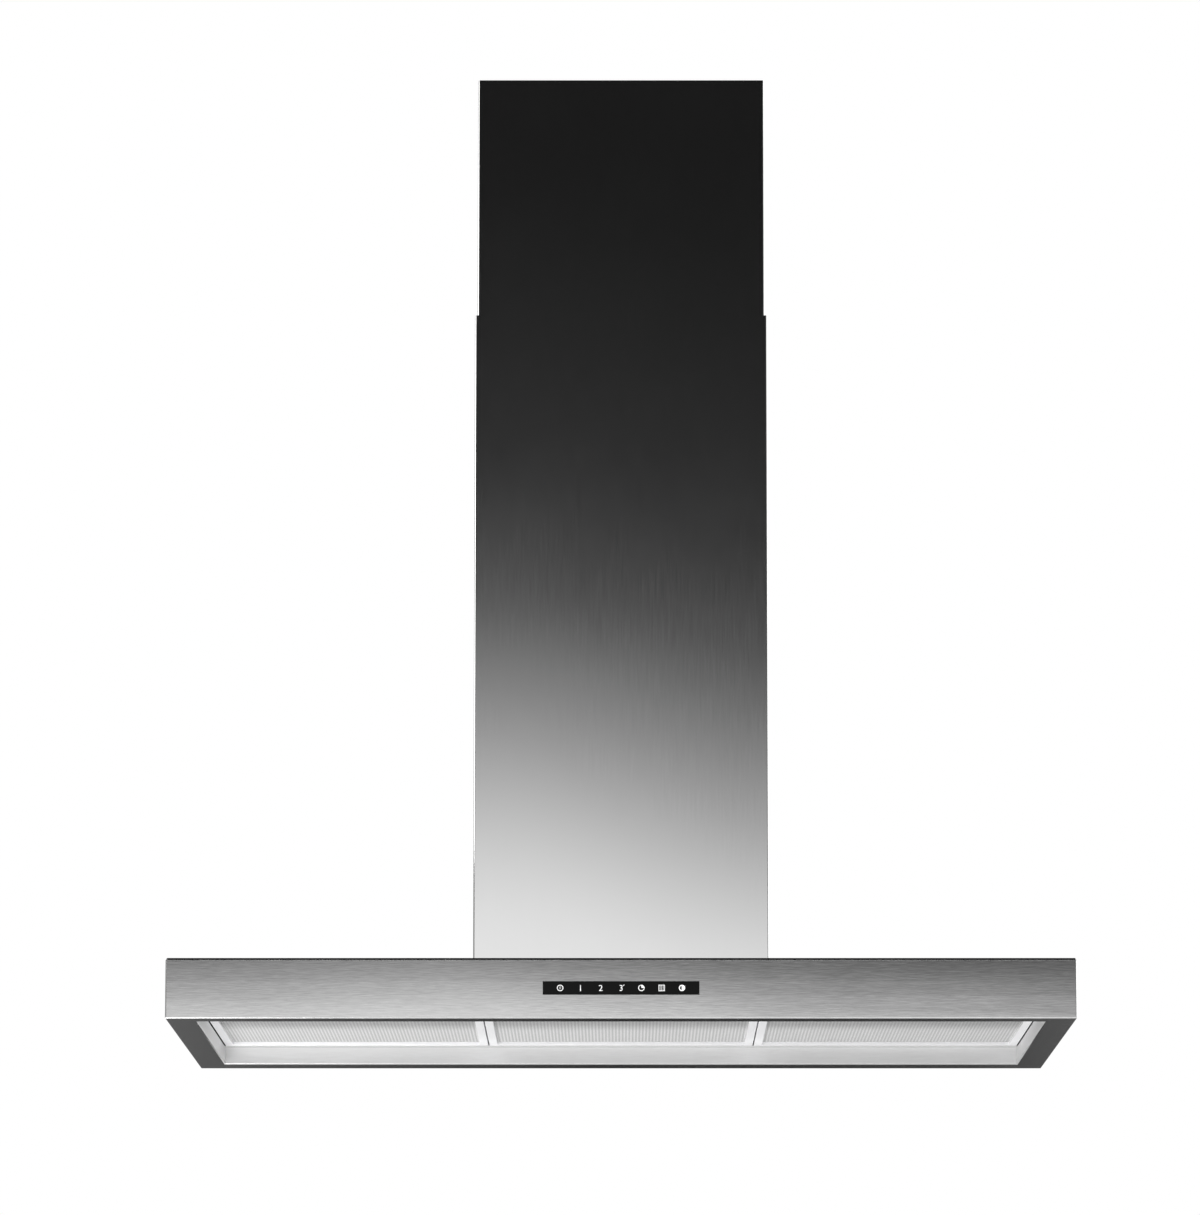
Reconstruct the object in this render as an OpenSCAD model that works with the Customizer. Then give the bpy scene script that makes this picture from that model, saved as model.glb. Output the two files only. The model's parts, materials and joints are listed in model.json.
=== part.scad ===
// Island range hood: a flat steel canopy hangs from the ceiling on a telescopic frame,
// inside a two-part square chimney.
// Origin: centre of the ceiling plate's top face. +Z up, the front faces -Y, +X to the right.
// Heights named *_z are measured up from the underside of the canopy's rim.

/* [Canopy] */
// Width of the canopy, left to right
canopy_w = 898; // [740:1:1200]
// Depth of the canopy, front to rear
canopy_d = 598; // [520:1:800]
// Height of the canopy box
canopy_h = 60; // [56:1:90]
// Thickness of the canopy's sheet
canopy_t = 1.2; // [0.8:0.1:2]
// Width of the rim along each side
rim_side = 29; // [15:1:45]
// Width of the rim along the front
rim_front = 34; // [20:1:60]
// Width of the rim along the rear
rim_rear = 50; // [20:1:60]
// Height of the walls round the recess in the underside
recess_h = 18; // [12:1:22]
// How far the top panel's edge stands back from the walls
top_setback = 1; // [0:0.1:2]

/* [Chimney] */
// Outer width and depth of the lower cover
cover_w = 298; // [240:1:360]
// Height of the lower cover
lower_cover_h = 673; // [520:1:900]
// Height of the upper cover that shows above the lower one
upper_visible = 246; // [200:1:400]
// How far the upper cover reaches down inside the lower one
cover_overlap = 254; // [240:1:320]
// Thickness of the covers' sheet
cover_t = 0.8; // [0.6:0.1:1.2]
// Clearance between the two covers on each side
cover_gap = 1.7; // [1.5:0.1:4]
// Width of the lip that joins a cover's two halves
cover_lip = 14; // [10:1:20]

/* [Hanging frame] */
// Clearance between the frame and the upper cover on each side
frame_gap = 5.7; // [5:0.1:10]
// Width of an upper rail's legs
rail_leg = 24; // [22:1:32]
// Thickness of the rails
rail_t = 2; // [1.5:0.5:3]
// Clearance between an upper rail and the lower rail inside it
rail_gap = 0.3; // [0.2:0.1:1]
// How far the frame can be lowered from its set height
adjust_down = 100; // [40:1:110]
// How far the frame can be raised from its set height
adjust_up = 80; // [40:1:90]
// Radius of the frame's screws
screw_r = 2.5; // [2:0.5:3]
// Thickness of the ceiling plate
plate_t = 2; // [2:0.5:4]
// Width of the ceiling plate's square opening
plate_opening = 200; // [180:1:200]
// Radius of the ceiling bolts' holes
bolt_hole_r = 4; // [3:0.5:5]
// Distance between the ceiling bolts, left to right
bolt_span_x = 120; // [80:1:160]

/* [Filters] */
// Gap on each side of every one of the three grease filters
filter_gap = 1.3; // [1:0.1:3]
// Thickness of a grease filter
filter_h = 10; // [8:1:12]
// Width of the flat bar round a filter
filter_bar = 8.5; // [6:0.5:14]
// Width of a filter's front bar, which holds the latch
filter_front_bar = 26; // [24:1:36]
// How far the mesh lies above the face of its frame
mesh_recess = 2; // [1.5:0.5:3]
// Thickness of the mesh pack
mesh_t = 2; // [1:0.5:4]
// Depth of the fixed ledge behind the filters
ledge_d = 23.4; // [16:0.1:30]
// Width of the finger slide in a filter's latch
latch_w = 48; // [30:1:80]
// Travel of the latch
latch_travel = 3.5; // [2:0.5:4]

/* [Lamps and controls] */
// Depth of the lamp panel in front of the filters
lamp_panel_d = 79; // [74:1:110]
// Radius of a lamp's flange
lamp_r = 31; // [24:1:34]
// Distance of each lamp from the centre
lamp_x = 270; // [160:1:300]
// Width of the control glass
glass_w = 154; // [120:1:260]
// Height of the control glass
glass_h = 13; // [10:1:20]
// Thickness of the control glass
glass_t = 3; // [2:0.5:4]

/* [Blower] */
// Height of the blower casing
casing_h = 297; // [280:1:330]
// Clearance between the casing and the frame's base ring
casing_gap = 4.5; // [4:0.5:10]
// Thickness of the casing's sheet
casing_t = 1; // [0.8:0.1:1.5]
// Thickness of the gasket under the casing
gasket_t = 3; // [2:0.5:5]
// Room beside the scroll for the motor
motor_room = 68; // [60:1:72]
// Outer radius of the duct collar
collar_r = 75; // [60:1:80]
// Height of the duct collar above its flange
collar_h = 48; // [40:1:60]
// Thickness of the moulded plastic walls
plastic_t = 1.5; // [1.5:0.5:2.5]
// Radius of a damper flap's pivot pins
flap_pin_r = 1.5; // [1:0.5:2]
// Number of blades on the impeller
blades = 30; // [20:1:36]

/* [Hidden] */
$fn = 64;

steel = [0.72, 0.72, 0.73];
dark_steel = [0.35, 0.35, 0.36];
zinc = [0.62, 0.64, 0.66];
alu = [0.86, 0.86, 0.87];
black = [0.06, 0.06, 0.07];
white = [0.92, 0.92, 0.92];

cut = 1;                            // how far a cutting solid runs past a face
total_h = canopy_h + lower_cover_h + upper_visible;

// chimney and frame
upper_w = cover_w - 2 * cover_t - 2 * cover_gap;
upper_h = upper_visible + cover_overlap;
frame_w = upper_w - 2 * cover_t - 2 * frame_gap;
rail_past = 20;                     // upper rails below the upper cover's edge
rail_short = 33;                    // lower rails below the lower cover's edge
upper_rail_h = upper_h + rail_past - plate_t;
lower_rail_h = lower_cover_h - rail_short;
lower_rail_z = canopy_h + lower_rail_h;
inner_w = frame_w - 2 * rail_t - 2 * rail_gap;   // over the lower rails
inner_leg = rail_leg - rail_t - rail_gap - 2;
base_w = inner_w - 2 * rail_t;      // over the base ring, which fits inside the lower rails
leg_mid = base_w / 2 - (inner_leg - rail_t) / 2; // line of the screws along each leg
screw_rows = [lower_rail_z - 20, lower_rail_z - 100];
slot_half = screw_r + 0.3;          // half the width of the slots in the upper rails
slot_z = [screw_rows[1] - adjust_down - 2 * screw_r, screw_rows[0] + adjust_up + 2 * screw_r];
head_h = 2.6;
nut_h = 4;
base_ring_h = 22;
base_screw_z = canopy_h + 12;
brace_h = 25;
upper_brace_z = total_h - 129;
lower_brace_z = canopy_h + gasket_t + casing_h + 70;
plate_w = upper_w - 2 * cover_t - 0.4;
bolt_span_y = (plate_w + plate_opening) / 2;
tab_y = [25, 55];                   // from the centre line to a tab's two ends
tab_h = 25;
tab_screw_z = -13;
tab_screw_y = (tab_y[0] + tab_y[1]) / 2;
seam_hole_r = 1.6;                  // holes for the covers' sheet screws

// canopy and recess
recess_w = canopy_w - 2 * rim_side;
recess_y = [-canopy_d / 2 + rim_front, canopy_d / 2 - rim_rear];
intake_w = base_w - 2 * canopy_t - 2 * casing_gap - 2 * casing_t - 26;

// filters
filter_w = (recess_w - 4 * filter_gap) / 3;
filter_pitch = filter_w + filter_gap;
filter_rear = recess_y[1] - ledge_d - 0.6;
filter_front = recess_y[0] + lamp_panel_d + 2;
filter_sheet = 1;
tab_gap = 0.3;                      // between a filter's rear tabs and the ledge
window_y = [filter_front + 6, filter_front + 20];
latch_clear = 0.2;

// controls
glass_z = canopy_h / 2 + 0.2;
carrier_t = 8;
box_w = 200;
box_d = 62;
box_h = min(26, canopy_h - canopy_t - recess_h - canopy_t - 6);
box_z = recess_h + canopy_t;

// blower
casing_w = base_w - 2 * canopy_t - 2 * casing_gap;
casing_z = canopy_h + gasket_t;
casing_top = casing_z + casing_h;
turn = 260;                         // how far the scroll's spiral runs round the impeller
tongue_a = 80;
scroll_open = 1.43;                 // the spiral's last radius over its first
scroll_clear = 5;
scroll_reach = (casing_w / 2 - casing_t - scroll_clear - plastic_t);
scroll_r0 = scroll_reach
    / ((scroll_open + cos(tongue_a)) / 2 - cos(tongue_a) + 1 + (scroll_open - 1) * tongue_a / turn);
scroll_r1 = scroll_r0 * scroll_open;
scroll_half = casing_w / 2 - casing_t - motor_room;
axis_y = (scroll_r1 - scroll_r0 * cos(tongue_a)) / 2;
axis_z = casing_z + 8 + scroll_r1;
impeller_r = scroll_r0 - 10;
impeller_half = scroll_half - plastic_t - 8;
blade_d = 14;
inlet_r = impeller_r - blade_d;
shaft_r = 4;
motor_r = inlet_r - 8;
motor_len = motor_room - 22;
collar_z = casing_top + 2;
collar_in = collar_r - plastic_t - 0.5;
flap_z = collar_z + 22;
flap_y = 6;
flap_t = 1.2;
flap_r = collar_in - 1.5;

// ---- helpers ----

// moves its children from rim heights into the part's own frame
module from_rim() translate([0, 0, -total_h]) children();

// a box centred on x and y, from z0 to z1
module slab(w, d, z0, z1) translate([-w / 2, -d / 2, z0]) cube([w, d, z1 - z0]);

// a box from its two corners
module block(a, b) translate(a) cube(b - a);

// a square tube of outer width w, from z0 to z1
module square_tube(w, t, z0, z1) difference() {
    slab(w, w, z0, z1);
    slab(w - 2 * t, w - 2 * t, z0 - cut, z1 + cut);
}

// a cylinder along +X, or along -X where dir is -1
module rod_x(r, len, dir = 1) rotate([0, 90 * dir, 0]) cylinder(r = r, h = len);

// puts its children, drawn at a rail in the rear right corner, in the corner given by signs
module corner(sx, sy) mirror([sx < 0 ? 1 : 0, 0, 0]) mirror([0, sy < 0 ? 1 : 0, 0]) children();

// an L-shaped rail in the rear right corner
module angle_rail(w, leg, z0, z1) difference() {
    block([w / 2 - leg, w / 2 - leg, z0], [w / 2, w / 2, z1]);
    block([w / 2 - leg - cut, w / 2 - leg - cut, z0 - cut], [w / 2 - rail_t, w / 2 - rail_t, z1 + cut]);
}

// the same drawing on both legs of a rail: drawn on the +X face, repeated on the +Y face
module both_legs() {
    children();
    mirror([1, -1, 0]) children();
}

// a pan-headed screw along -X whose head rests on the plane x = 0
module screw(r, len, head_r) {
    rod_x(head_r, head_h);
    translate([0.01, 0, 0]) rod_x(r, len, -1);
}

// ---- ceiling frame ----

module ceiling_plate() color(zinc) difference() {
    union() {
        slab(plate_w, plate_w, -plate_t, 0);
        for (sx = [-1, 1], sy = [-1, 1])
            corner(sx, sy)
                block([plate_w / 2 - 1.5, tab_y[0], -tab_h], [plate_w / 2, tab_y[1], -plate_t / 2]);
    }
    slab(plate_opening, plate_opening, -plate_t - cut, cut);
    for (sx = [-1, 1]) corner(sx, 1)
        block([upper_w / 2 - 2 * cover_t - 0.1, -cover_lip - 0.2, -plate_t - cut],
              [upper_w / 2, cover_lip / 2 + 0.2, cut]);
    for (sx = [-1, 1], sy = [-1, 1]) {
        translate([sx * bolt_span_x / 2, sy * bolt_span_y / 2, -plate_t - cut])
            cylinder(r = bolt_hole_r, h = plate_t + 2 * cut);
        corner(sx, sy) translate([plate_w / 2 + cut, tab_screw_y, tab_screw_z]) rod_x(seam_hole_r, 4, -1);
    }
}

module upper_rail(sx, sy) color(zinc) from_rim() corner(sx, sy) difference() {
    angle_rail(frame_w, rail_leg, total_h - plate_t - upper_rail_h, total_h - plate_t);
    both_legs() {
        for (z = slot_z)
            translate([frame_w / 2 + cut, leg_mid, z]) rod_x(slot_half, rail_t + 2 * cut, -1);
        block([frame_w / 2 - rail_t - cut, leg_mid - slot_half, slot_z[0]],
              [frame_w / 2 + cut, leg_mid + slot_half, slot_z[1]]);
    }
}
module upper_rail_front_left() upper_rail(-1, -1);
module upper_rail_front_right() upper_rail(1, -1);
module upper_rail_rear_left() upper_rail(-1, 1);
module upper_rail_rear_right() upper_rail(1, 1);

module upper_brace() color(zinc) from_rim()
    square_tube(frame_w - 2 * rail_t, rail_t, upper_brace_z, upper_brace_z + brace_h);

// half of a square cover; side is -1 for the front half and 1 for the rear half,
// which has the lips that the screws on the seam go through
module cover_half(w, z0, z1, side, seam_rows) difference() {
    union() {
        intersection() {
            square_tube(w, cover_t, z0, z1);
            block([-w, side < 0 ? -w : 0, z0 - cut], [w, side < 0 ? 0 : w, z1 + cut]);
        }
        if (side > 0) for (sx = [-1, 1]) corner(sx, 1)
            block([w / 2 - 2 * cover_t, -cover_lip, z0], [w / 2 - cover_t, cover_lip / 2, z1]);
    }
    for (sx = [-1, 1], z = seam_rows)
        corner(sx, 1) translate([w / 2 + cut, -cover_lip / 2, z])
            rod_x(seam_hole_r, 2 * cover_t + 2 * cut, -1);
}

upper_seam_rows = [-150, -upper_h + 60];
module upper_cover(side) color(steel) difference() {
    cover_half(upper_w, -upper_h, 0, side, upper_seam_rows);
    for (sx = [-1, 1])
        corner(sx, side) translate([upper_w / 2 + cut, tab_screw_y, tab_screw_z])
            rod_x(seam_hole_r, cover_t + 2 * cut, -1);
}
module upper_cover_front() upper_cover(-1);
module upper_cover_rear() upper_cover(1);

// a flat-headed sheet screw along -X; its head is thin enough for the lower cover's lips to pass
module cover_screw(len) {
    rod_x(3.4, cover_gap - cover_t - 0.2);
    translate([0.01, 0, 0]) rod_x(1.5, len, -1);
}

module upper_cover_screws() color(steel) for (sx = [-1, 1]) {
    for (sy = [-1, 1]) corner(sx, sy) translate([upper_w / 2, tab_screw_y, tab_screw_z]) cover_screw(6);
    for (z = upper_seam_rows) corner(sx, 1) translate([upper_w / 2, -cover_lip / 2, z]) cover_screw(4);
}

// ---- frame that carries the hood ----

module lower_rail(sx, sy) color(zinc) from_rim() corner(sx, sy) difference() {
    angle_rail(inner_w, inner_leg, canopy_h, lower_rail_z);
    both_legs() for (z = concat(screw_rows, [base_screw_z]))
        translate([inner_w / 2 + cut, leg_mid, z]) rod_x(screw_r + 0.1, rail_t + 2 * cut, -1);
}
module lower_rail_front_left() lower_rail(-1, -1);
module lower_rail_front_right() lower_rail(1, -1);
module lower_rail_rear_left() lower_rail(-1, 1);
module lower_rail_rear_right() lower_rail(1, 1);

module lower_brace() color(zinc) from_rim()
    square_tube(base_w, rail_t, lower_brace_z, lower_brace_z + brace_h);

// screws with nuts: they go through the lower rails and run in the upper rails' slots
module frame_screws() color(dark_steel) from_rim()
    for (sx = [-1, 1], sy = [-1, 1], z = screw_rows) corner(sx, sy) both_legs()
        translate([frame_w / 2 + 0.2, leg_mid, z]) {
            screw(screw_r, rail_t * 2 + rail_gap + nut_h + 1, 4.6);
            translate([-0.2 - 2 * rail_t - rail_gap - nut_h, 0, 0])
                rotate([0, 90, 0]) cylinder(r = 4.4, h = nut_h, $fn = 6);
        }

module base_screws() color(dark_steel) from_rim()
    for (sx = [-1, 1], sy = [-1, 1]) corner(sx, sy) both_legs()
        translate([inner_w / 2, leg_mid, base_screw_z]) screw(screw_r, rail_t + canopy_t + 2, 4.4);

// ---- canopy ----

module canopy_shell() color(steel) from_rim() difference() {
    union() {
        difference() {
            slab(canopy_w, canopy_d, 0, canopy_h - canopy_t);
            slab(canopy_w - 2 * canopy_t, canopy_d - 2 * canopy_t, canopy_t, canopy_h);
        }
        block([-recess_w / 2 - canopy_t, recess_y[0] - canopy_t, 0],
              [recess_w / 2 + canopy_t, recess_y[1] + canopy_t, recess_h]);
    }
    block([-recess_w / 2, recess_y[0], -cut], [recess_w / 2, recess_y[1], recess_h + cut]);
    translate([0, -canopy_d / 2, 0])
        slab(glass_w + 0.4, 4 * canopy_t, glass_z - glass_h / 2 - 0.2, glass_z + glass_h / 2 + 0.2);
}

module canopy_top() color(steel) from_rim() difference() {
    union() {
        slab(canopy_w - 2 * top_setback, canopy_d - 2 * top_setback, canopy_h - canopy_t, canopy_h);
        square_tube(base_w, canopy_t, canopy_h - canopy_t / 2, canopy_h + base_ring_h);
    }
    slab(intake_w, intake_w, canopy_h - canopy_t - cut, canopy_h + cut);
    for (sx = [-1, 1], sy = [-1, 1]) {
        corner(sx, sy) both_legs() translate([base_w / 2 + cut, leg_mid, base_screw_z])
            rod_x(screw_r + 0.1, canopy_t + 2 * cut, -1);
        translate([sx * casing_screw_x, sy * casing_screw_y, canopy_h - canopy_t - cut])
            cylinder(r = 2.2, h = canopy_t + 2 * cut);
    }
}

module lamp_panel() color(steel) from_rim() difference() {
    union() {
        block([-recess_w / 2 - canopy_t, recess_y[0] - canopy_t, recess_h],
              [recess_w / 2 + canopy_t, recess_y[0] + lamp_panel_d, recess_h + canopy_t]);
        block([-recess_w / 2, recess_y[0] + lamp_panel_d - canopy_t, recess_h + canopy_t / 2],
              [recess_w / 2, recess_y[0] + lamp_panel_d, recess_h + 14]);
    }
    for (sx = [-1, 1]) translate([sx * lamp_x, recess_y[0] + lamp_panel_d / 2, recess_h - cut])
        cylinder(r = lamp_r - 3.4, h = canopy_t + 2 * cut);
}

module filter_ledge() color(steel) from_rim()
    block([-recess_w / 2 - canopy_t, recess_y[1] - ledge_d, recess_h],
          [recess_w / 2 + canopy_t, recess_y[1] + 8, recess_h + canopy_t]);

module at_lamp(side) from_rim()
    translate([side * lamp_x, recess_y[0] + lamp_panel_d / 2, recess_h]) children();

module lamp_housing(side) color(steel) at_lamp(side) difference() {
    union() {
        translate([0, 0, -1.8]) cylinder(r = lamp_r, h = 1.8);
        cylinder(r = lamp_r - 3.5, h = 24);
    }
    translate([0, 0, -1.8 - cut]) cylinder(r = lamp_r - 6.9, h = 22);
}
module lamp_left_housing() lamp_housing(-1);
module lamp_right_housing() lamp_housing(1);

module lamp_lens(side) color(white) at_lamp(side)
    translate([0, 0, -1.4]) cylinder(r = lamp_r - 7, h = 3);
module lamp_left_lens() lamp_lens(-1);
module lamp_right_lens() lamp_lens(1);

module control_glass() color(black) from_rim()
    block([-glass_w / 2, -canopy_d / 2, glass_z - glass_h / 2],
          [glass_w / 2, -canopy_d / 2 + glass_t, glass_z + glass_h / 2]);

module control_carrier() color(black) from_rim() translate([0, -canopy_d / 2 + canopy_t, 0]) difference() {
    block([-glass_w / 2 - 8, 0, glass_z - glass_h / 2 - 5],
          [glass_w / 2 + 8, carrier_t, glass_z + glass_h / 2 + 5]);
    block([-glass_w / 2 - 0.2, -cut, glass_z - glass_h / 2 - 0.2],
          [glass_w / 2 + 0.2, glass_t - canopy_t, glass_z + glass_h / 2 + 0.2]);
    block([-glass_w / 2 + 3, -cut, glass_z - glass_h / 2 + 1],
          [glass_w / 2 - 3, carrier_t - 1.5, glass_z + glass_h / 2 - 1]);
}

module control_board() color([0.1, 0.35, 0.2]) from_rim() translate([0, -canopy_d / 2 + canopy_t, 0])
    block([-glass_w / 2 + 4, carrier_t - 3.1, glass_z - glass_h / 2 + 1.5],
          [glass_w / 2 - 4, carrier_t - 1.5, glass_z + glass_h / 2 - 1.5]);

// the tray stands on the lamp panel, between the lamps
module control_box() color(white) from_rim() translate([0, recess_y[0] + 4, box_z]) difference() {
    block([-box_w / 2, 0, 0], [box_w / 2, box_d, box_h - 2]);
    block([-box_w / 2 + 2, 2, 2], [box_w / 2 - 2, box_d - 2, box_h]);
    translate([box_w / 2 + cut, box_d / 2, box_h / 2]) rod_x(6.1, 2 + 2 * cut, -1);
}

module control_box_lid() color(white) from_rim() translate([0, recess_y[0] + 4, box_z]) union() {
    block([-box_w / 2, 0, box_h - 2], [box_w / 2, box_d, box_h]);
    block([-box_w / 2 + 2.3, 2.3, box_h - 5], [box_w / 2 - 2.3, box_d - 2.3, box_h - 2]);
}

module cable_gland() color(black) from_rim()
    translate([box_w / 2, recess_y[0] + 4 + box_d / 2, box_z + box_h / 2]) difference() {
        union() {
            rod_x(8.5, 6);
            translate([6, 0, 0]) rod_x(6.5, 8);
            translate([0.5, 0, 0]) rod_x(6, 2.5, -1);
            translate([-2, 0, 0]) rod_x(7.6, 4, -1);
        }
        translate([20, 0, 0]) rod_x(3.6, 40, -1);
    }

// ---- blower ----

casing_screw_x = casing_w / 2 - 7;
casing_screw_y = 60;

module blower_casing() color(zinc) from_rim() difference() {
    slab(casing_w, casing_w, casing_z, casing_top);
    slab(casing_w - 2 * casing_t, casing_w - 2 * casing_t, casing_z + casing_t, casing_top - casing_t);
    slab(intake_w, intake_w, casing_z - cut, casing_z + 2 * casing_t);
    block([-scroll_half + plastic_t, -outlet_half + plastic_t, casing_top - 2 * casing_t],
          [scroll_half - plastic_t, outlet_half - plastic_t, casing_top + cut]);
    for (sx = [-1, 1], sy = [-1, 1])
        translate([sx * casing_screw_x, sy * casing_screw_y, casing_z - cut])
            cylinder(r = 2, h = casing_t + 2 * cut);
}

module blower_gasket() color(black) from_rim() difference() {
    slab(casing_w, casing_w, canopy_h, casing_z);
    slab(intake_w, intake_w, canopy_h - cut, casing_z + cut);
    for (sx = [-1, 1], sy = [-1, 1])
        translate([sx * casing_screw_x, sy * casing_screw_y, canopy_h - cut])
            cylinder(r = 2.2, h = gasket_t + 2 * cut);
}

module casing_screws() color(dark_steel) from_rim() for (sx = [-1, 1], sy = [-1, 1])
    translate([sx * casing_screw_x, sy * casing_screw_y, canopy_h - canopy_t]) {
        translate([0, 0, -head_h]) cylinder(r = 4, h = head_h);
        translate([0, 0, -0.01]) cylinder(r = 1.9, h = canopy_t + gasket_t + casing_t + 3);
    }

outlet_half = (scroll_r1 + scroll_r0 * cos(tongue_a)) / 2;
outlet_rise = casing_top - casing_t - axis_z;

// outline of the scroll about the impeller's axis, grown outwards by g
function scroll_outline(g) = concat(
    [for (i = [0:40]) let (a = turn * i / 40, r = scroll_r0 + (scroll_r1 - scroll_r0) * i / 40 + g)
        [r * cos(tongue_a - a), r * sin(tongue_a - a)]],
    [[-scroll_r1 - g, outlet_rise], [scroll_r0 * cos(tongue_a) + g, outlet_rise]]);

module on_blower_axis() from_rim() translate([0, axis_y, axis_z]) children();

module scroll_half_shell(side) color(dark_steel) on_blower_axis() corner(side, 1)
    rotate([90, 0, 90]) difference() {
        linear_extrude(scroll_half) polygon(scroll_outline(0));
        translate([0, 0, -cut]) linear_extrude(scroll_half - plastic_t + cut)
            polygon(scroll_outline(-plastic_t));
        translate([-scroll_r1 + plastic_t, outlet_rise - 2, -cut])
            cube([2 * outlet_half - 2 * plastic_t, 2 + cut, scroll_half - plastic_t + cut]);
        cylinder(r = inlet_r, h = scroll_half + cut);
    }
module scroll_left() scroll_half_shell(-1);
module scroll_right() scroll_half_shell(1);

bracket_t = 2;
module motor_bracket() color(zinc) on_blower_axis() translate([scroll_half, 0, 0]) rotate([0, 90, 0])
    linear_extrude(bracket_t) difference() {
        union() {
            difference() {
                circle(r = inlet_r + 8);
                circle(r = inlet_r);
            }
            circle(r = motor_r - 4);
            for (a = [30:120:270])
                rotate(a) translate([motor_r - 8, -6]) square([inlet_r - motor_r + 12, 12]);
        }
        circle(r = 8);
    }

module motor_body() color(dark_steel) on_blower_axis() translate([scroll_half + bracket_t, 0, 0])
    difference() {
        union() {
            rod_x(motor_r - 3, motor_len);
            translate([5, 0, 0]) rod_x(motor_r, motor_len - 10);
        }
        translate([-cut, 0, 0]) rod_x(shaft_r + 0.05, motor_len - 5 + cut);
    }

module motor_shaft() color(steel) on_blower_axis() translate([-14, 0, 0])
    rod_x(shaft_r, 14 + scroll_half + bracket_t + motor_len - 6);

module impeller() color(alu) on_blower_axis() rotate([0, 90, 0]) difference() {
    union() {
        translate([0, 0, -1.5]) cylinder(r = impeller_r - 1, h = 3);
        translate([0, 0, -10]) cylinder(r = 12, h = 20);
        for (z = [-impeller_half, impeller_half - 3]) translate([0, 0, z]) difference() {
            cylinder(r = impeller_r, h = 3);
            translate([0, 0, -cut]) cylinder(r = inlet_r, h = 3 + 2 * cut);
        }
        for (i = [0:blades - 1]) rotate([0, 0, 360 * i / blades])
            translate([impeller_r - blade_d / 2 - 0.5, 0, -impeller_half + 1]) rotate([0, 0, 28])
                block([-blade_d / 2, -0.6, 0], [blade_d / 2, 0.6, 2 * impeller_half - 2]);
    }
    translate([0, 0, -12]) cylinder(r = shaft_r + 0.02, h = 24);
}

module capacitor() color(white) from_rim()
    translate([scroll_half + 34, -casing_w / 2 + casing_t, casing_top - 45]) rotate([-90, 0, 0]) union() {
        cylinder(r = 17.5, h = 52);
        translate([0, 0, 51]) cylinder(r = 15, h = 4);
    }

module outlet_collar() color(black) from_rim() difference() {
    union() {
        slab(2 * collar_r + 14, 2 * collar_r + 14, casing_top, collar_z);
        translate([0, 0, casing_top]) cylinder(r = collar_r, h = 2 + collar_h);
    }
    translate([0, 0, flap_z - flap_t / 2 - 0.2]) cylinder(r = collar_in, h = collar_h);
    translate([0, 0, casing_top - cut]) cylinder(r = collar_in - 5, h = collar_h + 4);
    slab(2 * collar_in - 1, 2 * flap_y + 2 * flap_pin_r + 6, casing_top - cut, flap_z + flap_t);
    for (sy = [-1, 1]) translate([-collar_r - cut, sy * flap_y, flap_z])
        rod_x(flap_pin_r + 0.05, 2 * collar_r + 2 * cut);
}

// a half disc with a round pivot along its straight edge; side is -1 for the front flap
module damper_flap(side) color(zinc) from_rim() translate([0, 0, flap_z]) corner(1, side) union() {
    intersection() {
        translate([0, 0, -flap_t / 2]) cylinder(r = flap_r, h = flap_t);
        block([-flap_r, flap_y, -flap_t], [flap_r, flap_r, flap_t]);
    }
    translate([-collar_r + 0.2, flap_y, 0]) rod_x(flap_pin_r, 2 * collar_r - 0.4);
}
module damper_flap_front() damper_flap(-1);
module damper_flap_rear() damper_flap(1);

// ---- lower cover ----

lower_seam_rows = [canopy_h + 30, canopy_h + lower_cover_h / 2, canopy_h + lower_cover_h - 30];
module lower_cover(side) color(steel) from_rim()
    cover_half(cover_w, canopy_h, canopy_h + lower_cover_h, side, lower_seam_rows);
module lower_cover_front() lower_cover(-1);
module lower_cover_rear() lower_cover(1);

module lower_cover_screws() color(steel) from_rim() for (sx = [-1, 1], z = lower_seam_rows)
    corner(sx, 1) translate([cover_w / 2, -cover_lip / 2, z]) cover_screw(2 * cover_t);

// ---- filters: col is -1, 0 or 1 ----

module at_filter(col) from_rim() translate([col * filter_pitch, 0, recess_h]) children();

module filter_frame(col) color(alu) at_filter(col) difference() {
    union() {
        block([-filter_w / 2, filter_front, 0], [filter_w / 2, filter_rear, filter_h]);
        for (sx = [-1, 1]) corner(sx, 1)
            block([filter_w / 4, filter_rear - 2, canopy_t + tab_gap],
                  [filter_w / 4 + 30, filter_rear + 10, canopy_t + tab_gap + 1.2]);
    }
    block([-filter_w / 2 + filter_sheet, filter_front + filter_sheet, mesh_recess],
          [filter_w / 2 - filter_sheet, filter_rear - filter_sheet, filter_h - filter_sheet]);
    block([-filter_w / 2 + filter_bar, filter_front + filter_front_bar, -cut],
          [filter_w / 2 - filter_bar, filter_rear - filter_bar, filter_h + cut]);
    block([-latch_w / 2 - latch_clear, window_y[0], -cut],
          [latch_w / 2 + latch_clear, window_y[1], mesh_recess + cut]);
    block([-latch_w / 4 - latch_clear, filter_front - cut, mesh_recess],
          [latch_w / 4 + latch_clear, filter_front + 2, mesh_recess + 2 + 2 * latch_clear]);
}
module filter_frame_left() filter_frame(-1);
module filter_frame_middle() filter_frame(0);
module filter_frame_right() filter_frame(1);

module filter_mesh(col) color(alu) at_filter(col)
    block([-filter_w / 2 + filter_sheet + 0.1, filter_front + filter_front_bar - 3, mesh_recess],
          [filter_w / 2 - filter_sheet - 0.1, filter_rear - filter_sheet - 0.1, mesh_recess + mesh_t]);
module filter_mesh_left() filter_mesh(-1);
module filter_mesh_middle() filter_mesh(0);
module filter_mesh_right() filter_mesh(1);

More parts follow.
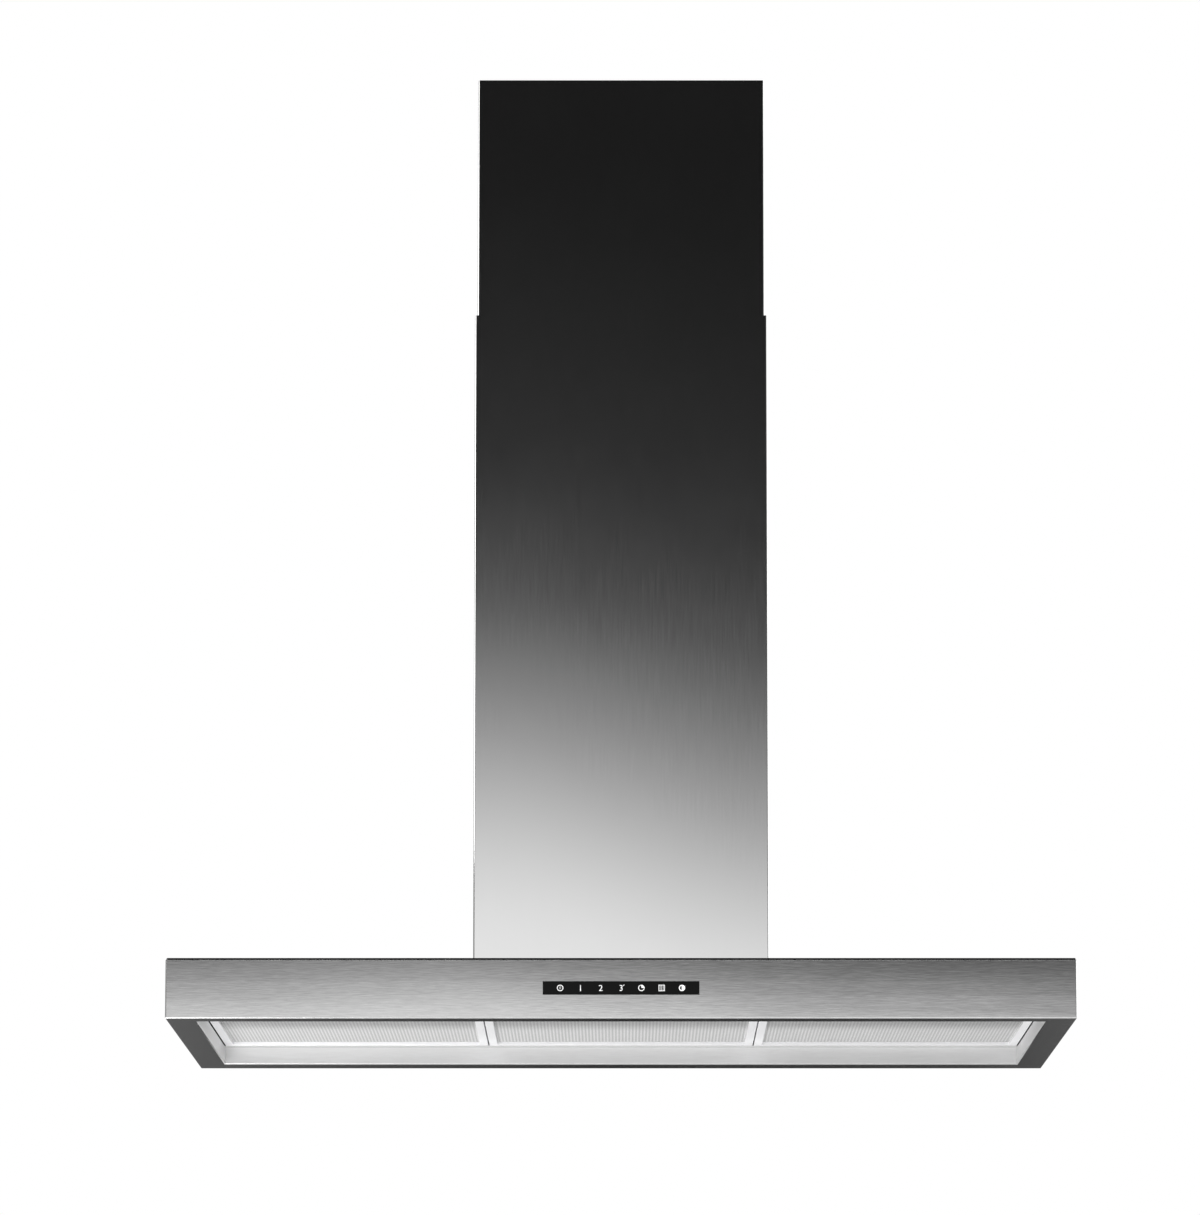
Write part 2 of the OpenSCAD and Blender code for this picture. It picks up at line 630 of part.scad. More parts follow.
// the plate slides on the front bar's floor; the grip hangs in the bar's window,
// and the nose runs through the bar's front wall
module latch_slider(col) color(dark_steel) at_filter(col) difference() {
    union() {
        block([-latch_w / 2 - 4, window_y[0] - 3, mesh_recess + latch_clear],
              [latch_w / 2 + 4, window_y[1] - latch_travel - 1, mesh_recess + latch_clear + 2]);
        block([-latch_w / 2, window_y[0] + latch_clear, 0.3],
              [latch_w / 2, window_y[1] - latch_travel - latch_clear, mesh_recess + latch_clear + 1]);
        block([-latch_w / 4, filter_front - 0.6, mesh_recess + latch_clear],
              [latch_w / 4, window_y[0], mesh_recess + latch_clear + 1.8]);
    }
    translate([0, window_y[0] + latch_clear + 2, -cut])
        block([-latch_w / 2 + 2, 0, 0],
              [latch_w / 2 - 2, window_y[1] - window_y[0] - latch_travel - 6, cut + 1.5]);
}
module latch_slider_left() latch_slider(-1);
module latch_slider_middle() latch_slider(0);
module latch_slider_right() latch_slider(1);

ceiling_plate();
upper_rail_front_left();
upper_rail_front_right();
upper_rail_rear_left();
upper_rail_rear_right();
upper_brace();
upper_cover_front();
upper_cover_rear();
upper_cover_screws();
lower_rail_front_left();
lower_rail_front_right();
lower_rail_rear_left();
lower_rail_rear_right();
lower_brace();
frame_screws();
base_screws();
canopy_shell();
canopy_top();
lamp_panel();
filter_ledge();
lamp_left_housing();
lamp_right_housing();
lamp_left_lens();
lamp_right_lens();
control_glass();
control_carrier();
control_board();
control_box();
control_box_lid();
cable_gland();
blower_casing();
blower_gasket();
casing_screws();
scroll_left();
scroll_right();
motor_body();
motor_bracket();
capacitor();
outlet_collar();
impeller();
motor_shaft();
damper_flap_front();
damper_flap_rear();
lower_cover_front();
lower_cover_rear();
lower_cover_screws();
filter_frame_left();
filter_frame_middle();
filter_frame_right();
filter_mesh_left();
filter_mesh_middle();
filter_mesh_right();
latch_slider_left();
latch_slider_middle();
latch_slider_right();
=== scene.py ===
"""Looks of the island range hood.

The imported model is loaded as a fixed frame. The visible pieces are modelled round it: the bent
steel sheets, the grease filters, the lamps, the controls and the screws. Every piece gets its
finish, and a plain studio with a camera below the rim completes the scene.

Lengths are in metres. +Z is up, the front faces -Y, and the origin is the centre of the ceiling
plate's top face.
"""

import json
import logging
import math
from contextlib import contextmanager
from dataclasses import dataclass
from enum import Enum
from typing import Any, Callable, Iterator, Optional, Sequence, Union

import bmesh
import bpy
from mathutils import Matrix, Vector

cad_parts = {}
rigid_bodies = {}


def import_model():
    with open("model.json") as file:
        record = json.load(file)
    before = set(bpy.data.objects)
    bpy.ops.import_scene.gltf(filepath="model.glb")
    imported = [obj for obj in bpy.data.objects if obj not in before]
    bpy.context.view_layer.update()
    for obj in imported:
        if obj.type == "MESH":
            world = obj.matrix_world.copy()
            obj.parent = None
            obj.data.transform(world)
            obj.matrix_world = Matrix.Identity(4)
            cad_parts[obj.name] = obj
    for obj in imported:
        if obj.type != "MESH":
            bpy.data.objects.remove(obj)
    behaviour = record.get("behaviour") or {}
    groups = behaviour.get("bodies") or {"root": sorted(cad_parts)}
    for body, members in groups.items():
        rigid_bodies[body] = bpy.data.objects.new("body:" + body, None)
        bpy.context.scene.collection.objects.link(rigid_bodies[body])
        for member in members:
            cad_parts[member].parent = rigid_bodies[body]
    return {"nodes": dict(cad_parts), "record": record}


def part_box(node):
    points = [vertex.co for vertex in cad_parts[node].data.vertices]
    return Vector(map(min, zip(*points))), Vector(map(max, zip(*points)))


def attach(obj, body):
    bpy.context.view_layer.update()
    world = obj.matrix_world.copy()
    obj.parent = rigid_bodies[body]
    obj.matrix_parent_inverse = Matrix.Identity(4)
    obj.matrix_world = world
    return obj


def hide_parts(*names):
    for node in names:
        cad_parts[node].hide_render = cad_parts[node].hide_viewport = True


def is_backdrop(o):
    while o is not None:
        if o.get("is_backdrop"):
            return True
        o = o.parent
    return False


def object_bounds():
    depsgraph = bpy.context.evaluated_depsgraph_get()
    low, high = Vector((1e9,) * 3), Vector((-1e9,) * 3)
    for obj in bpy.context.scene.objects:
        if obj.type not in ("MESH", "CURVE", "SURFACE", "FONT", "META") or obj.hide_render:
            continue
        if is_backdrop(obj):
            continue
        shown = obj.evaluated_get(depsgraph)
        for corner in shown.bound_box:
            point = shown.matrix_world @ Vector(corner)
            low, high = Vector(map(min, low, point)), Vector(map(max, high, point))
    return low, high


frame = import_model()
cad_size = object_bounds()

MM = 0.001
TINY = 0.02 * MM
FULL_TURN = 2 * math.pi
log = logging.getLogger("range_hood")

Point = Union[Vector, Sequence[float]]


# ---- bench: modelling with operators ----


def only(*objects: bpy.types.Object) -> None:
    """Selects these objects and nothing else, and makes the first one active.

    Args:
        objects: The objects to select, or none to leave nothing selected.
    """
    for other in bpy.context.scene.objects:
        other.select_set(False)
    for one in objects:
        one.select_set(True)
    bpy.context.view_layer.objects.active = objects[0] if objects else None


class Workpiece:
    """A mesh on the bench, shaped by edit-mode operators and applied modifiers."""

    def __init__(self, name: str) -> None:
        """Takes the object that was added last, names it and settles its place into its mesh.

        Args:
            name: The piece's name.
        """
        self.obj: bpy.types.Object = bpy.context.object
        self.obj.name = name
        self.obj.data.name = name
        self.settle()

    def settle(self) -> "Workpiece":
        """Applies the object's place, turn and scale to its mesh, and returns the piece.

        Returns:
            The piece.
        """
        only(self.obj)
        bpy.ops.object.transform_apply(location=True, rotation=True, scale=True)
        return self

    def moved(self, offset: Point) -> "Workpiece":
        """Moves the piece.

        Args:
            offset: How far it goes.

        Returns:
            The piece.
        """
        self.obj.location = Vector(offset)
        return self.settle()

    def turned(self, axis: str, degrees: float) -> "Workpiece":
        """Turns the piece about an axis through the origin.

        Args:
            axis: One of X, Y and Z.
            degrees: The angle.

        Returns:
            The piece.
        """
        self.obj.matrix_world = Matrix.Rotation(math.radians(degrees), 4, axis)
        return self.settle()

    def copy(self, name: str) -> "Workpiece":
        """Copies the piece with a mesh of its own.

        Args:
            name: The copy's name.

        Returns:
            The copy.
        """
        only(self.obj)
        bpy.ops.object.duplicate(linked=False)
        return Workpiece(name)

    def join(self, *others: "Workpiece") -> "Workpiece":
        """Joins other pieces into this one.

        Args:
            others: The pieces that become part of it.

        Returns:
            The piece.
        """
        only(self.obj, *(other.obj for other in others))
        bpy.ops.object.join()
        return self

    def modify(self, kind: str, **settings: Any) -> "Workpiece":
        """Adds a modifier and applies it.

        Args:
            kind: The modifier's type.
            settings: The values of its properties.

        Returns:
            The piece.
        """
        only(self.obj)
        modifier = self.obj.modifiers.new(kind.lower(), kind)
        for name, value in settings.items():
            setattr(modifier, name, value)
        bpy.ops.object.modifier_apply(modifier=modifier.name)
        return self

    def cut_with(self, *cutters: "Workpiece") -> "Workpiece":
        """Takes the cutters' shapes out of the piece and throws the cutters away.

        Args:
            cutters: Closed pieces.

        Returns:
            The piece.
        """
        for cutter in cutters:
            self.modify("BOOLEAN", operation="DIFFERENCE", solver="EXACT", object=cutter.obj)
            bpy.data.objects.remove(cutter.obj)
        return self

    def thicken(self, wall: float) -> "Workpiece":
        """Gives the piece's sheet its thickness, behind the faces.

        Args:
            wall: The sheet's thickness.

        Returns:
            The piece.
        """
        return self.modify("SOLIDIFY", thickness=wall, offset=-1, use_even_offset=True)

    def shade(self, degrees: float = 30) -> "Workpiece":
        """Smooths the bends and keeps the flats flat.

        Args:
            degrees: Edges sharper than this stay sharp.

        Returns:
            The piece.
        """
        only(self.obj)
        bpy.ops.object.shade_smooth_by_angle(angle=math.radians(degrees))
        return self.modify("WEIGHTED_NORMAL", keep_sharp=True, weight=100)

    @contextmanager
    def edited(self) -> Iterator[None]:
        """Keeps the piece in edit mode for as long as the block runs."""
        only(self.obj)
        bpy.ops.object.mode_set(mode="EDIT")
        try:
            yield
        finally:
            bpy.ops.object.mode_set(mode="OBJECT")

    def _pick(self, mode: str, parts: str, test: Callable[[Any], bool]) -> None:
        """Selects the parts of the edited mesh that pass a test and nothing else.

        Args:
            mode: The selection mode.
            parts: The name of the mesh's list of parts.
            test: What a part has to pass.

        Raises:
            ValueError: No part passed.
        """
        bpy.ops.mesh.select_mode(type=mode)
        bpy.ops.mesh.select_all(action="DESELECT")
        mesh = bmesh.from_edit_mesh(self.obj.data)
        found = [part for part in getattr(mesh, parts) if test(part)]
        for part in found:
            part.select_set(True)
        mesh.select_flush_mode()
        bmesh.update_edit_mesh(self.obj.data)
        if not found:
            raise ValueError(f"{self.obj.name}: nothing to select in {parts}")

    def pick_faces(self, test: Callable[[Vector, Vector], bool]) -> None:
        """Selects the faces whose normal and centre pass a test."""
        self._pick("FACE", "faces", lambda f: test(f.normal, f.calc_center_median()))

    def pick_edges(self, test: Callable[[Vector, Vector], bool]) -> None:
        """Selects the edges whose two ends pass a test."""
        self._pick("EDGE", "edges", lambda e: test(e.verts[0].co, e.verts[1].co))

    def pick_corners(self, test: Callable[[Vector], bool]) -> None:
        """Selects the corners whose place passes a test."""
        self._pick("VERT", "verts", lambda v: test(v.co))

    def pick_all(self) -> None:
        """Selects the whole edited mesh."""
        bpy.ops.mesh.select_all(action="SELECT")

    def face_outwards(self) -> None:
        """Turns every face of the edited mesh outwards."""
        self.pick_all()
        bpy.ops.mesh.normals_make_consistent(inside=False)

    def bevel_edges(self, test: Callable[[Vector, Vector], bool], radius: float, steps: int) -> None:
        """Rounds the edges that pass a test.

        Args:
            test: What an edge's two ends have to pass.
            radius: The width of the bevel.
            steps: Its number of segments.
        """
        self.pick_edges(test)
        bpy.ops.mesh.bevel(offset=radius, segments=steps, affect="EDGES")

    def bisect_all(self, point: Point, normal: Point, drop: bool = False) -> None:
        """Cuts the whole edited mesh with a plane.

        Args:
            point: A point on the plane.
            normal: The plane's normal.
            drop: Whether what lies on the normal's side goes, and the cut is closed.
        """
        self.pick_all()
        bpy.ops.mesh.bisect(plane_co=point, plane_no=normal, use_fill=drop, clear_outer=drop)
        if drop:
            self.face_outwards()

    def extrude_faces(self, offset: Point) -> None:
        """Extrudes the selected faces by an offset."""
        bpy.ops.mesh.extrude_region_move(TRANSFORM_OT_translate={"value": tuple(offset)})

    def extrude_rim(self, rise: float, scale: float, centre: Point) -> None:
        """Extrudes the selected open edges, then draws them in or out.

        Args:
            rise: How far they go along Z.
            scale: Their new size over the old one, along X and Y.
            centre: The point that they shrink towards.
        """
        bpy.ops.mesh.extrude_edges_move(TRANSFORM_OT_translate={"value": (0, 0, rise)})
        bpy.ops.transform.resize(value=(scale, scale, 1), center_override=tuple(centre))


def cube(name: str, low: Point, high: Point) -> Workpiece:
    """Starts a piece as a box between two corners.

    Args:
        name: The piece's name.
        low: The lowest corner.
        high: The highest corner.

    Returns:
        The piece.
    """
    low, high = Vector(low), Vector(high)
    only()
    bpy.ops.mesh.primitive_cube_add(size=1, location=(low + high) / 2, scale=high - low)
    return Workpiece(name)


def softened_box(name: str, low: Point, high: Point, radius: float, steps: int = 2) -> Workpiece:
    """Models a box with rounded edges.

    Args:
        name: The piece's name.
        low: The lowest corner.
        high: The highest corner.
        radius: The width of the bevel on every edge.
        steps: Its number of segments.

    Returns:
        The piece.
    """
    box = cube(name, low, high)
    with box.edited():
        box.bevel_edges(lambda a, b: True, radius, steps)
    return box


def peg(name: str, radius: float, start: Point, length: float, axis: str = "Z",
        corners: int = 32) -> Workpiece:
    """Models a round rod from a disc by extruding it.

    Args:
        name: The piece's name.
        radius: The rod's radius.
        start: The centre of its first end.
        length: How far it runs along the axis.
        axis: X, Y or Z.
        corners: The number of its sides.

    Returns:
        The piece.
    """
    only()
    bpy.ops.mesh.primitive_circle_add(vertices=corners, radius=radius, fill_type="NGON")
    rod = Workpiece(name)
    with rod.edited():
        rod.pick_all()
        rod.extrude_faces((0, 0, length))
        rod.face_outwards()
    if axis == "X":
        rod.turned("Y", 90)
    if axis == "Y":
        rod.turned("X", -90)
    return rod.moved(start)


def lathed(name: str, outline: Sequence[tuple[float, float]], corners: int = 64) -> Workpiece:
    """Models a closed round piece about Z from a ring that is extruded and scaled in steps.

    Args:
        name: The piece's name.
        outline: Radius and height of each ring, from one end cap to the other.
        corners: The number of corners in a ring.

    Returns:
        The piece.
    """
    only()
    radius, height = outline[0]
    bpy.ops.mesh.primitive_circle_add(
        vertices=corners, radius=radius, location=(0, 0, height), fill_type="NOTHING"
    )
    part = Workpiece(name)
    with part.edited():
        part.pick_all()
        bpy.ops.mesh.edge_face_add()
        for (old_radius, old_height), (radius, height) in zip(outline, outline[1:]):
            part.pick_corners(
                lambda co: abs(co.z - old_height) < TINY
                and abs(math.hypot(co.x, co.y) - old_radius) < TINY
            )
            bpy.ops.mesh.select_mode(type="EDGE")
            part.extrude_rim(height - old_height, radius / old_radius, (0, 0, height))
        bpy.ops.mesh.edge_face_add()
        part.face_outwards()
    return part


def finished(piece: Workpiece, body: str, slot: str, look: "Finish", *nodes: str) -> None:
    """Dresses a piece, puts it on its body and hides the CAD nodes that it stands for.

    Args:
        piece: The finished piece.
        body: The CAD body that it moves with.
        slot: The record's material slot; not used.
        look: Its finish.
        nodes: The CAD nodes that it replaces.
    """
    piece.obj.data.materials.clear()
    piece.obj.data.materials.append(look.material())
    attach(piece.obj, body)
    if nodes:
        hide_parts(*nodes)
    log.info("%s: %d faces on %s", piece.obj.name, len(piece.obj.data.polygons), body)


def refinish(piece: Workpiece, look: "Finish", test: Callable[[Vector, Vector], bool]) -> None:
    """Gives some faces of a dressed piece another finish.

    Args:
        piece: The piece.
        look: The other finish.
        test: What a face's normal and centre have to pass.
    """
    piece.obj.data.materials.append(look.material())
    piece.obj.active_material_index = len(piece.obj.data.materials) - 1
    with piece.edited():
        piece.pick_faces(test)
        bpy.ops.object.material_slot_assign()


# ---- shader sums ----


class Signal:
    """A number that varies over a surface; Python's operators on it add Math nodes."""

    def __init__(self, graph: "Graph", socket: bpy.types.NodeSocket) -> None:
        """Wraps a socket.

        Args:
            graph: The graph that it belongs to.
            socket: The output socket.
        """
        self.graph = graph
        self.socket = socket

    def math(self, operation: str, *values: "Value") -> "Signal":
        """Adds a Math node with this number as its first value.

        Args:
            operation: The Math node's operation.
            values: The other values.

        Returns:
            The result.
        """
        return self.graph.sum_of(operation, self, *values)

    def __add__(self, other: "Value") -> "Signal":
        """Returns self + other."""
        return self.math("ADD", other)

    def __sub__(self, other: "Value") -> "Signal":
        """Returns self - other."""
        return self.math("SUBTRACT", other)

    def __mul__(self, other: "Value") -> "Signal":
        """Returns self * other."""
        return self.math("MULTIPLY", other)

    def __truediv__(self, other: "Value") -> "Signal":
        """Returns self / other."""
        return self.math("DIVIDE", other)

    def __radd__(self, other: float) -> "Signal":
        """Returns other + self."""
        return self.graph.sum_of("ADD", other, self)

    def __rsub__(self, other: float) -> "Signal":
        """Returns other - self."""
        return self.graph.sum_of("SUBTRACT", other, self)

    def __rmul__(self, other: float) -> "Signal":
        """Returns other * self."""
        return self.graph.sum_of("MULTIPLY", other, self)

    def __rtruediv__(self, other: float) -> "Signal":
        """Returns other / self."""
        return self.graph.sum_of("DIVIDE", other, self)

    def between(self, start: float, end: float) -> "Signal":
        """Runs smoothly from 0 where the number is start to 1 where it is end.

        Args:
            start: The number that gives 0.
            end: The number that gives 1.

        Returns:
            The smooth step.
        """
        return self.graph.add(
            "ShaderNodeMapRange",
            {"interpolation_type": "SMOOTHSTEP"},
            {"Value": self, "From Min": start, "From Max": end},
            "Result",
        )


Value = Union[Signal, float]


class Graph:
    """A node tree, filled through one method that adds any node."""

    def __init__(self, tree: bpy.types.NodeTree) -> None:
        """Empties a tree.

        Args:
            tree: The node tree of a material or world.
        """
        self.tree = tree
        tree.nodes.clear()

    def node(self, kind: str, settings: Optional[dict] = None,
             inputs: Optional[dict] = None) -> bpy.types.Node:
        """Adds a node, sets it up and feeds its sockets.

        Args:
            kind: The node's type.
            settings: Its properties; stops is a ramp's list of place and grey or colour.
            inputs: A value or a link for each socket, by name or number.

        Returns:
            The node.
        """
        made = self.tree.nodes.new(kind)
        for name, value in (settings or {}).items():
            if name == "stops":
                self._set_stops(made.color_ramp, value)
            else:
                setattr(made, name, value)
        for name, value in (inputs or {}).items():
            socket = made.inputs[name]
            if isinstance(value, Signal):
                self.tree.links.new(value.socket, socket)
            elif isinstance(value, bpy.types.NodeSocket):
                self.tree.links.new(value, socket)
            else:
                socket.default_value = value
        return made

    def add(self, kind: str, settings: Optional[dict] = None, inputs: Optional[dict] = None,
            output: Union[int, str] = 0) -> Signal:
        """Adds a node and returns one of its outputs.

        Args:
            kind: The node's type.
            settings: Its properties.
            inputs: A value or a link for each socket.
            output: The output's name or number.

        Returns:
            The output.
        """
        return Signal(self, self.node(kind, settings, inputs).outputs[output])

    @staticmethod
    def _set_stops(ramp: bpy.types.ColorRamp, stops: Sequence[tuple[float, Any]]) -> None:
        """Gives a ramp its stops.

        Args:
            ramp: The colour ramp.
            stops: Place and grey or colour of each stop, in order.
        """
        while len(ramp.elements) > 1:
            ramp.elements.remove(ramp.elements[0])
        for index, (place, tone) in enumerate(stops):
            stop = ramp.elements[0] if index == 0 else ramp.elements.new(place)
            stop.position = place
            stop.color = rgba(tone)

    def sum_of(self, operation: str, *values: Value) -> Signal:
        """Adds a Math node.

        Args:
            operation: Its operation.
            values: Its values in order.

        Returns:
            The result.
        """
        return self.add("ShaderNodeMath", {"operation": operation}, dict(enumerate(values)))

    def ramp(self, factor: Signal, stops: Sequence[tuple[float, Any]]) -> Signal:
        """Turns a number from 0 to 1 into a grey or colour."""
        return self.add("ShaderNodeValToRGB", {"stops": stops}, {"Fac": factor})

    def blend(self, factor: Value, first: Any, second: Any) -> Signal:
        """Mixes two colours.

        Args:
            factor: 0 gives the first colour and 1 the second.
            first: A colour, a grey or a link.
            second: A colour, a grey or a link.

        Returns:
            The mixed colour.
        """
        ends = [end if isinstance(end, Signal) else rgba(end) for end in (first, second)]
        return self.add(
            "ShaderNodeMix", {"data_type": "RGBA"}, {0: factor, 6: ends[0], 7: ends[1]}, 2
        )

    def place(self, scale: Point, offset: Point = (0, 0, 0)) -> Signal:
        """Returns the object's coordinates, moved and stretched for a pattern.

        Args:
            scale: Pattern units per metre along each axis.
            offset: What is added after that.

        Returns:
            The coordinates.
        """
        where = self.add("ShaderNodeTexCoord", output="Object")
        return self.add(
            "ShaderNodeMapping", None, {"Vector": where, "Scale": scale, "Location": offset}
        )

    def noise(self, scale: Point, detail: float = 2, rough: float = 0.5,
              offset: Point = (0, 0, 0)) -> Signal:
        """Adds a noise pattern on the object's coordinates.

        Args:
            scale: Grains per metre along each axis.
            detail: The number of finer layers.
            rough: How strong the finer layers are.
            offset: Where in the pattern the piece lies.

        Returns:
            The noise, about 0.5.
        """
        return self.add(
            "ShaderNodeTexNoise", {"noise_dimensions": "3D"},
            {"Vector": self.place(scale, offset), "Scale": 1.0, "Detail": detail,
             "Roughness": rough},
        )

    def cells(self, scale: float, output: str, distance: str = "EUCLIDEAN") -> Signal:
        """Adds a pattern of cells on the object's coordinates.

        Args:
            scale: Cells per metre.
            output: The output that is read.
            distance: How the distance to a cell's middle is measured.

        Returns:
            The pattern.
        """
        return self.add(
            "ShaderNodeTexVoronoi", {"feature": "F1", "distance": distance},
            {"Vector": self.place((1, 1, 1)), "Scale": scale}, output,
        )

    def bump(self, height: Signal, depth: float) -> Signal:
        """Turns a height from 0 to 1 into a normal.

        Args:
            height: The height.
            depth: The real height of 1, in metres.

        Returns:
            The normal.
        """
        return self.add("ShaderNodeBump", None,
                        {"Height": height, "Strength": 1.0, "Distance": depth}, "Normal")

    def principled(self, **sockets: Any) -> None:
        """Ends the graph in one shader; an underscore in a name stands for a space.

        Args:
            sockets: A value or a link for each of its sockets.
        """
        inputs = {name.replace("_", " "): value for name, value in sockets.items()}
        for name in ("Base Color", "Emission Color"):
            if name in inputs and not isinstance(inputs[name], Signal):
                inputs[name] = rgba(inputs[name])
        shader = self.add("ShaderNodeBsdfPrincipled", None, inputs)
        self.node("ShaderNodeOutputMaterial", None, {"Surface": shader})


def rgba(tone: Any) -> tuple[float, float, float, float]:
    """Returns a grey or a colour with its alpha.

    Args:
        tone: A grey, or red, green and blue.

    Returns:
        Four numbers.
    """
    if isinstance(tone, (int, float)):
        return (tone, tone, tone, 1.0)
    return (tone[0], tone[1], tone[2], 1.0)


# ---- finishes ----


class Grain(Enum):
    """The way the lines of a brushed sheet run, as grains per metre along each axis."""

    LEVEL = (72.0, 420.0, 1400.0)
    UPRIGHT = (900.0, 900.0, 22.0)
    FLAT = (38.0, 760.0, 420.0)


@dataclass(frozen=True)
class Finish:
    """What every finish has: a name and a way to make its material once."""

    name: str

    def material(self) -> bpy.types.Material:
        """Returns the finish's material, made at its first use.

        Returns:
            The material.
        """
        made = bpy.data.materials.get(self.name)
        if made is None:
            made = bpy.data.materials.new(self.name)
            made.use_nodes = True
            self.paint(Graph(made.node_tree))
        return made

    def paint(self, graph: Graph) -> None:
        """Builds the material's nodes.

        Args:
            graph: The material's empty graph.
        """
        raise NotImplementedError


@dataclass(frozen=True)
class BrushedSteel(Finish):
    """Stainless sheet with fine brushed lines."""

    grain: Grain = Grain.LEVEL
    tone: float = 0.6
    roughness: float = 0.12
    contrast: float = 0.1
    depth: float = 0.004 * MM

    def paint(self, graph: Graph) -> None:
        """Builds lines of uneven length, with faint cloudy wear over them.

        Args:
            graph: The material's empty graph.
        """
        lines = graph.noise(self.grain.value, 4, 0.6)
        clouds = graph.noise((7, 7, 7), 2)
        tone = lines * self.contrast + clouds * (self.contrast * 0.3)
        dark, light = self.tone * (1 - self.contrast), self.tone * (1 + self.contrast)
        graph.principled(
            Base_Color=graph.blend(tone / (1.3 * self.contrast), dark, light),
            Metallic=1.0,
            Roughness=self.roughness + (lines - 0.5) * 0.05 + (clouds - 0.5) * 0.02,
            Normal=graph.bump(lines, self.depth),
        )


@dataclass(frozen=True)
class ZincSheet(Finish):
    """Galvanised sheet with its spangle."""

    tone: float = 0.5

    def paint(self, graph: Graph) -> None:
        """Builds flat crystals of slightly different grey.

        Args:
            graph: The material's empty graph.
        """
        crystals = graph.cells(130.0, "Color")
        shade = graph.add("ShaderNodeSeparateColor", None, {"Color": crystals}, "Red")
        scuffs = graph.noise((60, 60, 60), 4, 0.7)
        graph.principled(
            Base_Color=graph.blend(shade, (self.tone * 0.8, self.tone * 0.83, self.tone * 0.86),
                                   (self.tone * 1.2, self.tone * 1.23, self.tone * 1.26)),
            Metallic=1.0,
            Roughness=0.3 + shade * 0.14 + scuffs * 0.1,
            Normal=graph.bump(scuffs, 0.02 * MM),
        )


@dataclass(frozen=True)
class SatinMetal(Finish):
    """Matt rolled or anodised metal."""

    tone: float = 0.9
    metal: float = 0.55
    roughness: float = 0.42

    def paint(self, graph: Graph) -> None:
        """Builds a fine even grain with a little uneven gloss.

        Args:
            graph: The material's empty graph.
        """
        grain = graph.noise((900, 900, 900), 2)
        clouds = graph.noise((18, 18, 18), 3)
        graph.principled(
            Base_Color=graph.blend(clouds, self.tone * 0.95, min(1.0, self.tone * 1.04)),
            Metallic=self.metal,
            Roughness=self.roughness + (grain - 0.5) * 0.12 + (clouds - 0.5) * 0.08,
            Normal=graph.bump(grain, 0.006 * MM),
        )


@dataclass(frozen=True)
class ExpandedMesh(Finish):
    """Aluminium grease mesh with painted shade in its hollows, which makes them darker than its
    knuckles.
    """

    face: float = 0.0
    depth: float = 1 * MM
    # Where the painted shade towards the front fades out, along Y
    film_run: tuple[float, float] = (-0.01, 0.09)

    def paint(self, graph: Graph) -> None:
        """Paints shade from the sheet's face into its hollows, and paints shade that darkens it
        towards the front, with a random mottle over it.

        Args:
            graph: The material's empty graph.
        """
        where = graph.place((1, 1, 1))
        height = graph.add("ShaderNodeSeparateXYZ", None, {"Vector": where}, "Z")
        level = (height - self.face) / self.depth
        # painted shade: the hollows go nearly black, standing for the dark seen through the mesh's
        # holes
        hollow_shade = level.between(0.2, 0.85) * (1 - level.between(1.01, 1.03))
        clouds = graph.noise((25, 25, 25), 3)
        depth = graph.add("ShaderNodeSeparateXYZ", None, {"Vector": where}, "Y")
        # painted shade: darker towards the front; the clouds add a random mottle
        mottle_and_front_shade = clouds * 0.3 + depth.between(*self.film_run) * 0.85
        sheet = graph.blend(mottle_and_front_shade, 0.3, 0.64)
        graph.principled(
            Base_Color=graph.blend(hollow_shade, sheet, 0.03),
            Metallic=0.5,
            Roughness=0.42 + hollow_shade * 0.2 + (clouds - 0.5) * 0.1,
            Normal=graph.bump(graph.noise((1400, 1400, 1400), 2), 0.01 * MM),
        )


@dataclass(frozen=True)
class BlackGlass(Finish):
    """Tinted glass with a black printed back."""

    def paint(self, graph: Graph) -> None:
        """Builds a deep black with faint smears in its gloss.

        Args:
            graph: The material's empty graph.
        """
        smears = graph.noise((40, 40, 90), 3)
        graph.principled(
            Base_Color=graph.blend(smears, 0.0035, 0.0055),
            Roughness=0.05 + smears * 0.06,
            IOR=1.45,
            Specular_IOR_Level=0.07,
        )


@dataclass(frozen=True)
class FrostedLens(Finish):
    """Milky lamp glass with a fine frosting."""

    def paint(self, graph: Graph) -> None:
        """Builds a pale lens that lets a little light through.

        Args:
            graph: The material's empty graph.
        """
        frost = graph.noise((1200, 1200, 1200), 2)
        graph.principled(
            Base_Color=graph.blend(frost, (0.86, 0.86, 0.83), (0.95, 0.95, 0.92)),
            Roughness=0.28 + frost * 0.16,
            Subsurface_Weight=0.2,
            Subsurface_Radius=(0.004, 0.004, 0.004),
            Normal=graph.bump(frost, 0.02 * MM),
        )


@dataclass(frozen=True)
class MouldedPlastic(Finish):
    """Moulded plastic with a fine sparked grain."""

    colour: tuple[float, float, float] = (0.02, 0.02, 0.022)
    roughness: float = 0.42

    def paint(self, graph: Graph) -> None:
        """Builds the mould's grain and a faint unevenness of colour.

        Args:
            graph: The material's empty graph.
        """
        grain = graph.noise((700, 700, 700), 3)
        clouds = graph.noise((30, 30, 30), 2)
        light = tuple(part * 1.25 + 0.002 for part in self.colour)
        graph.principled(
            Base_Color=graph.blend(clouds, self.colour, light),
            Roughness=self.roughness + (grain - 0.5) * 0.2,
            Normal=graph.bump(grain, 0.04 * MM),
        )


@dataclass(frozen=True)
class SealFoam(Finish):
    """Black closed-cell foam."""

    def paint(self, graph: Graph) -> None:
        """Builds the open cells of the cut foam.

        Args:
            graph: The material's empty graph.
        """
        cells = graph.cells(900.0, "Distance")
        graph.principled(
            Base_Color=graph.blend(cells, 0.008, 0.035),
            Roughness=0.92 - cells * 0.1,
            Normal=graph.bump(cells, 0.25 * MM),
        )


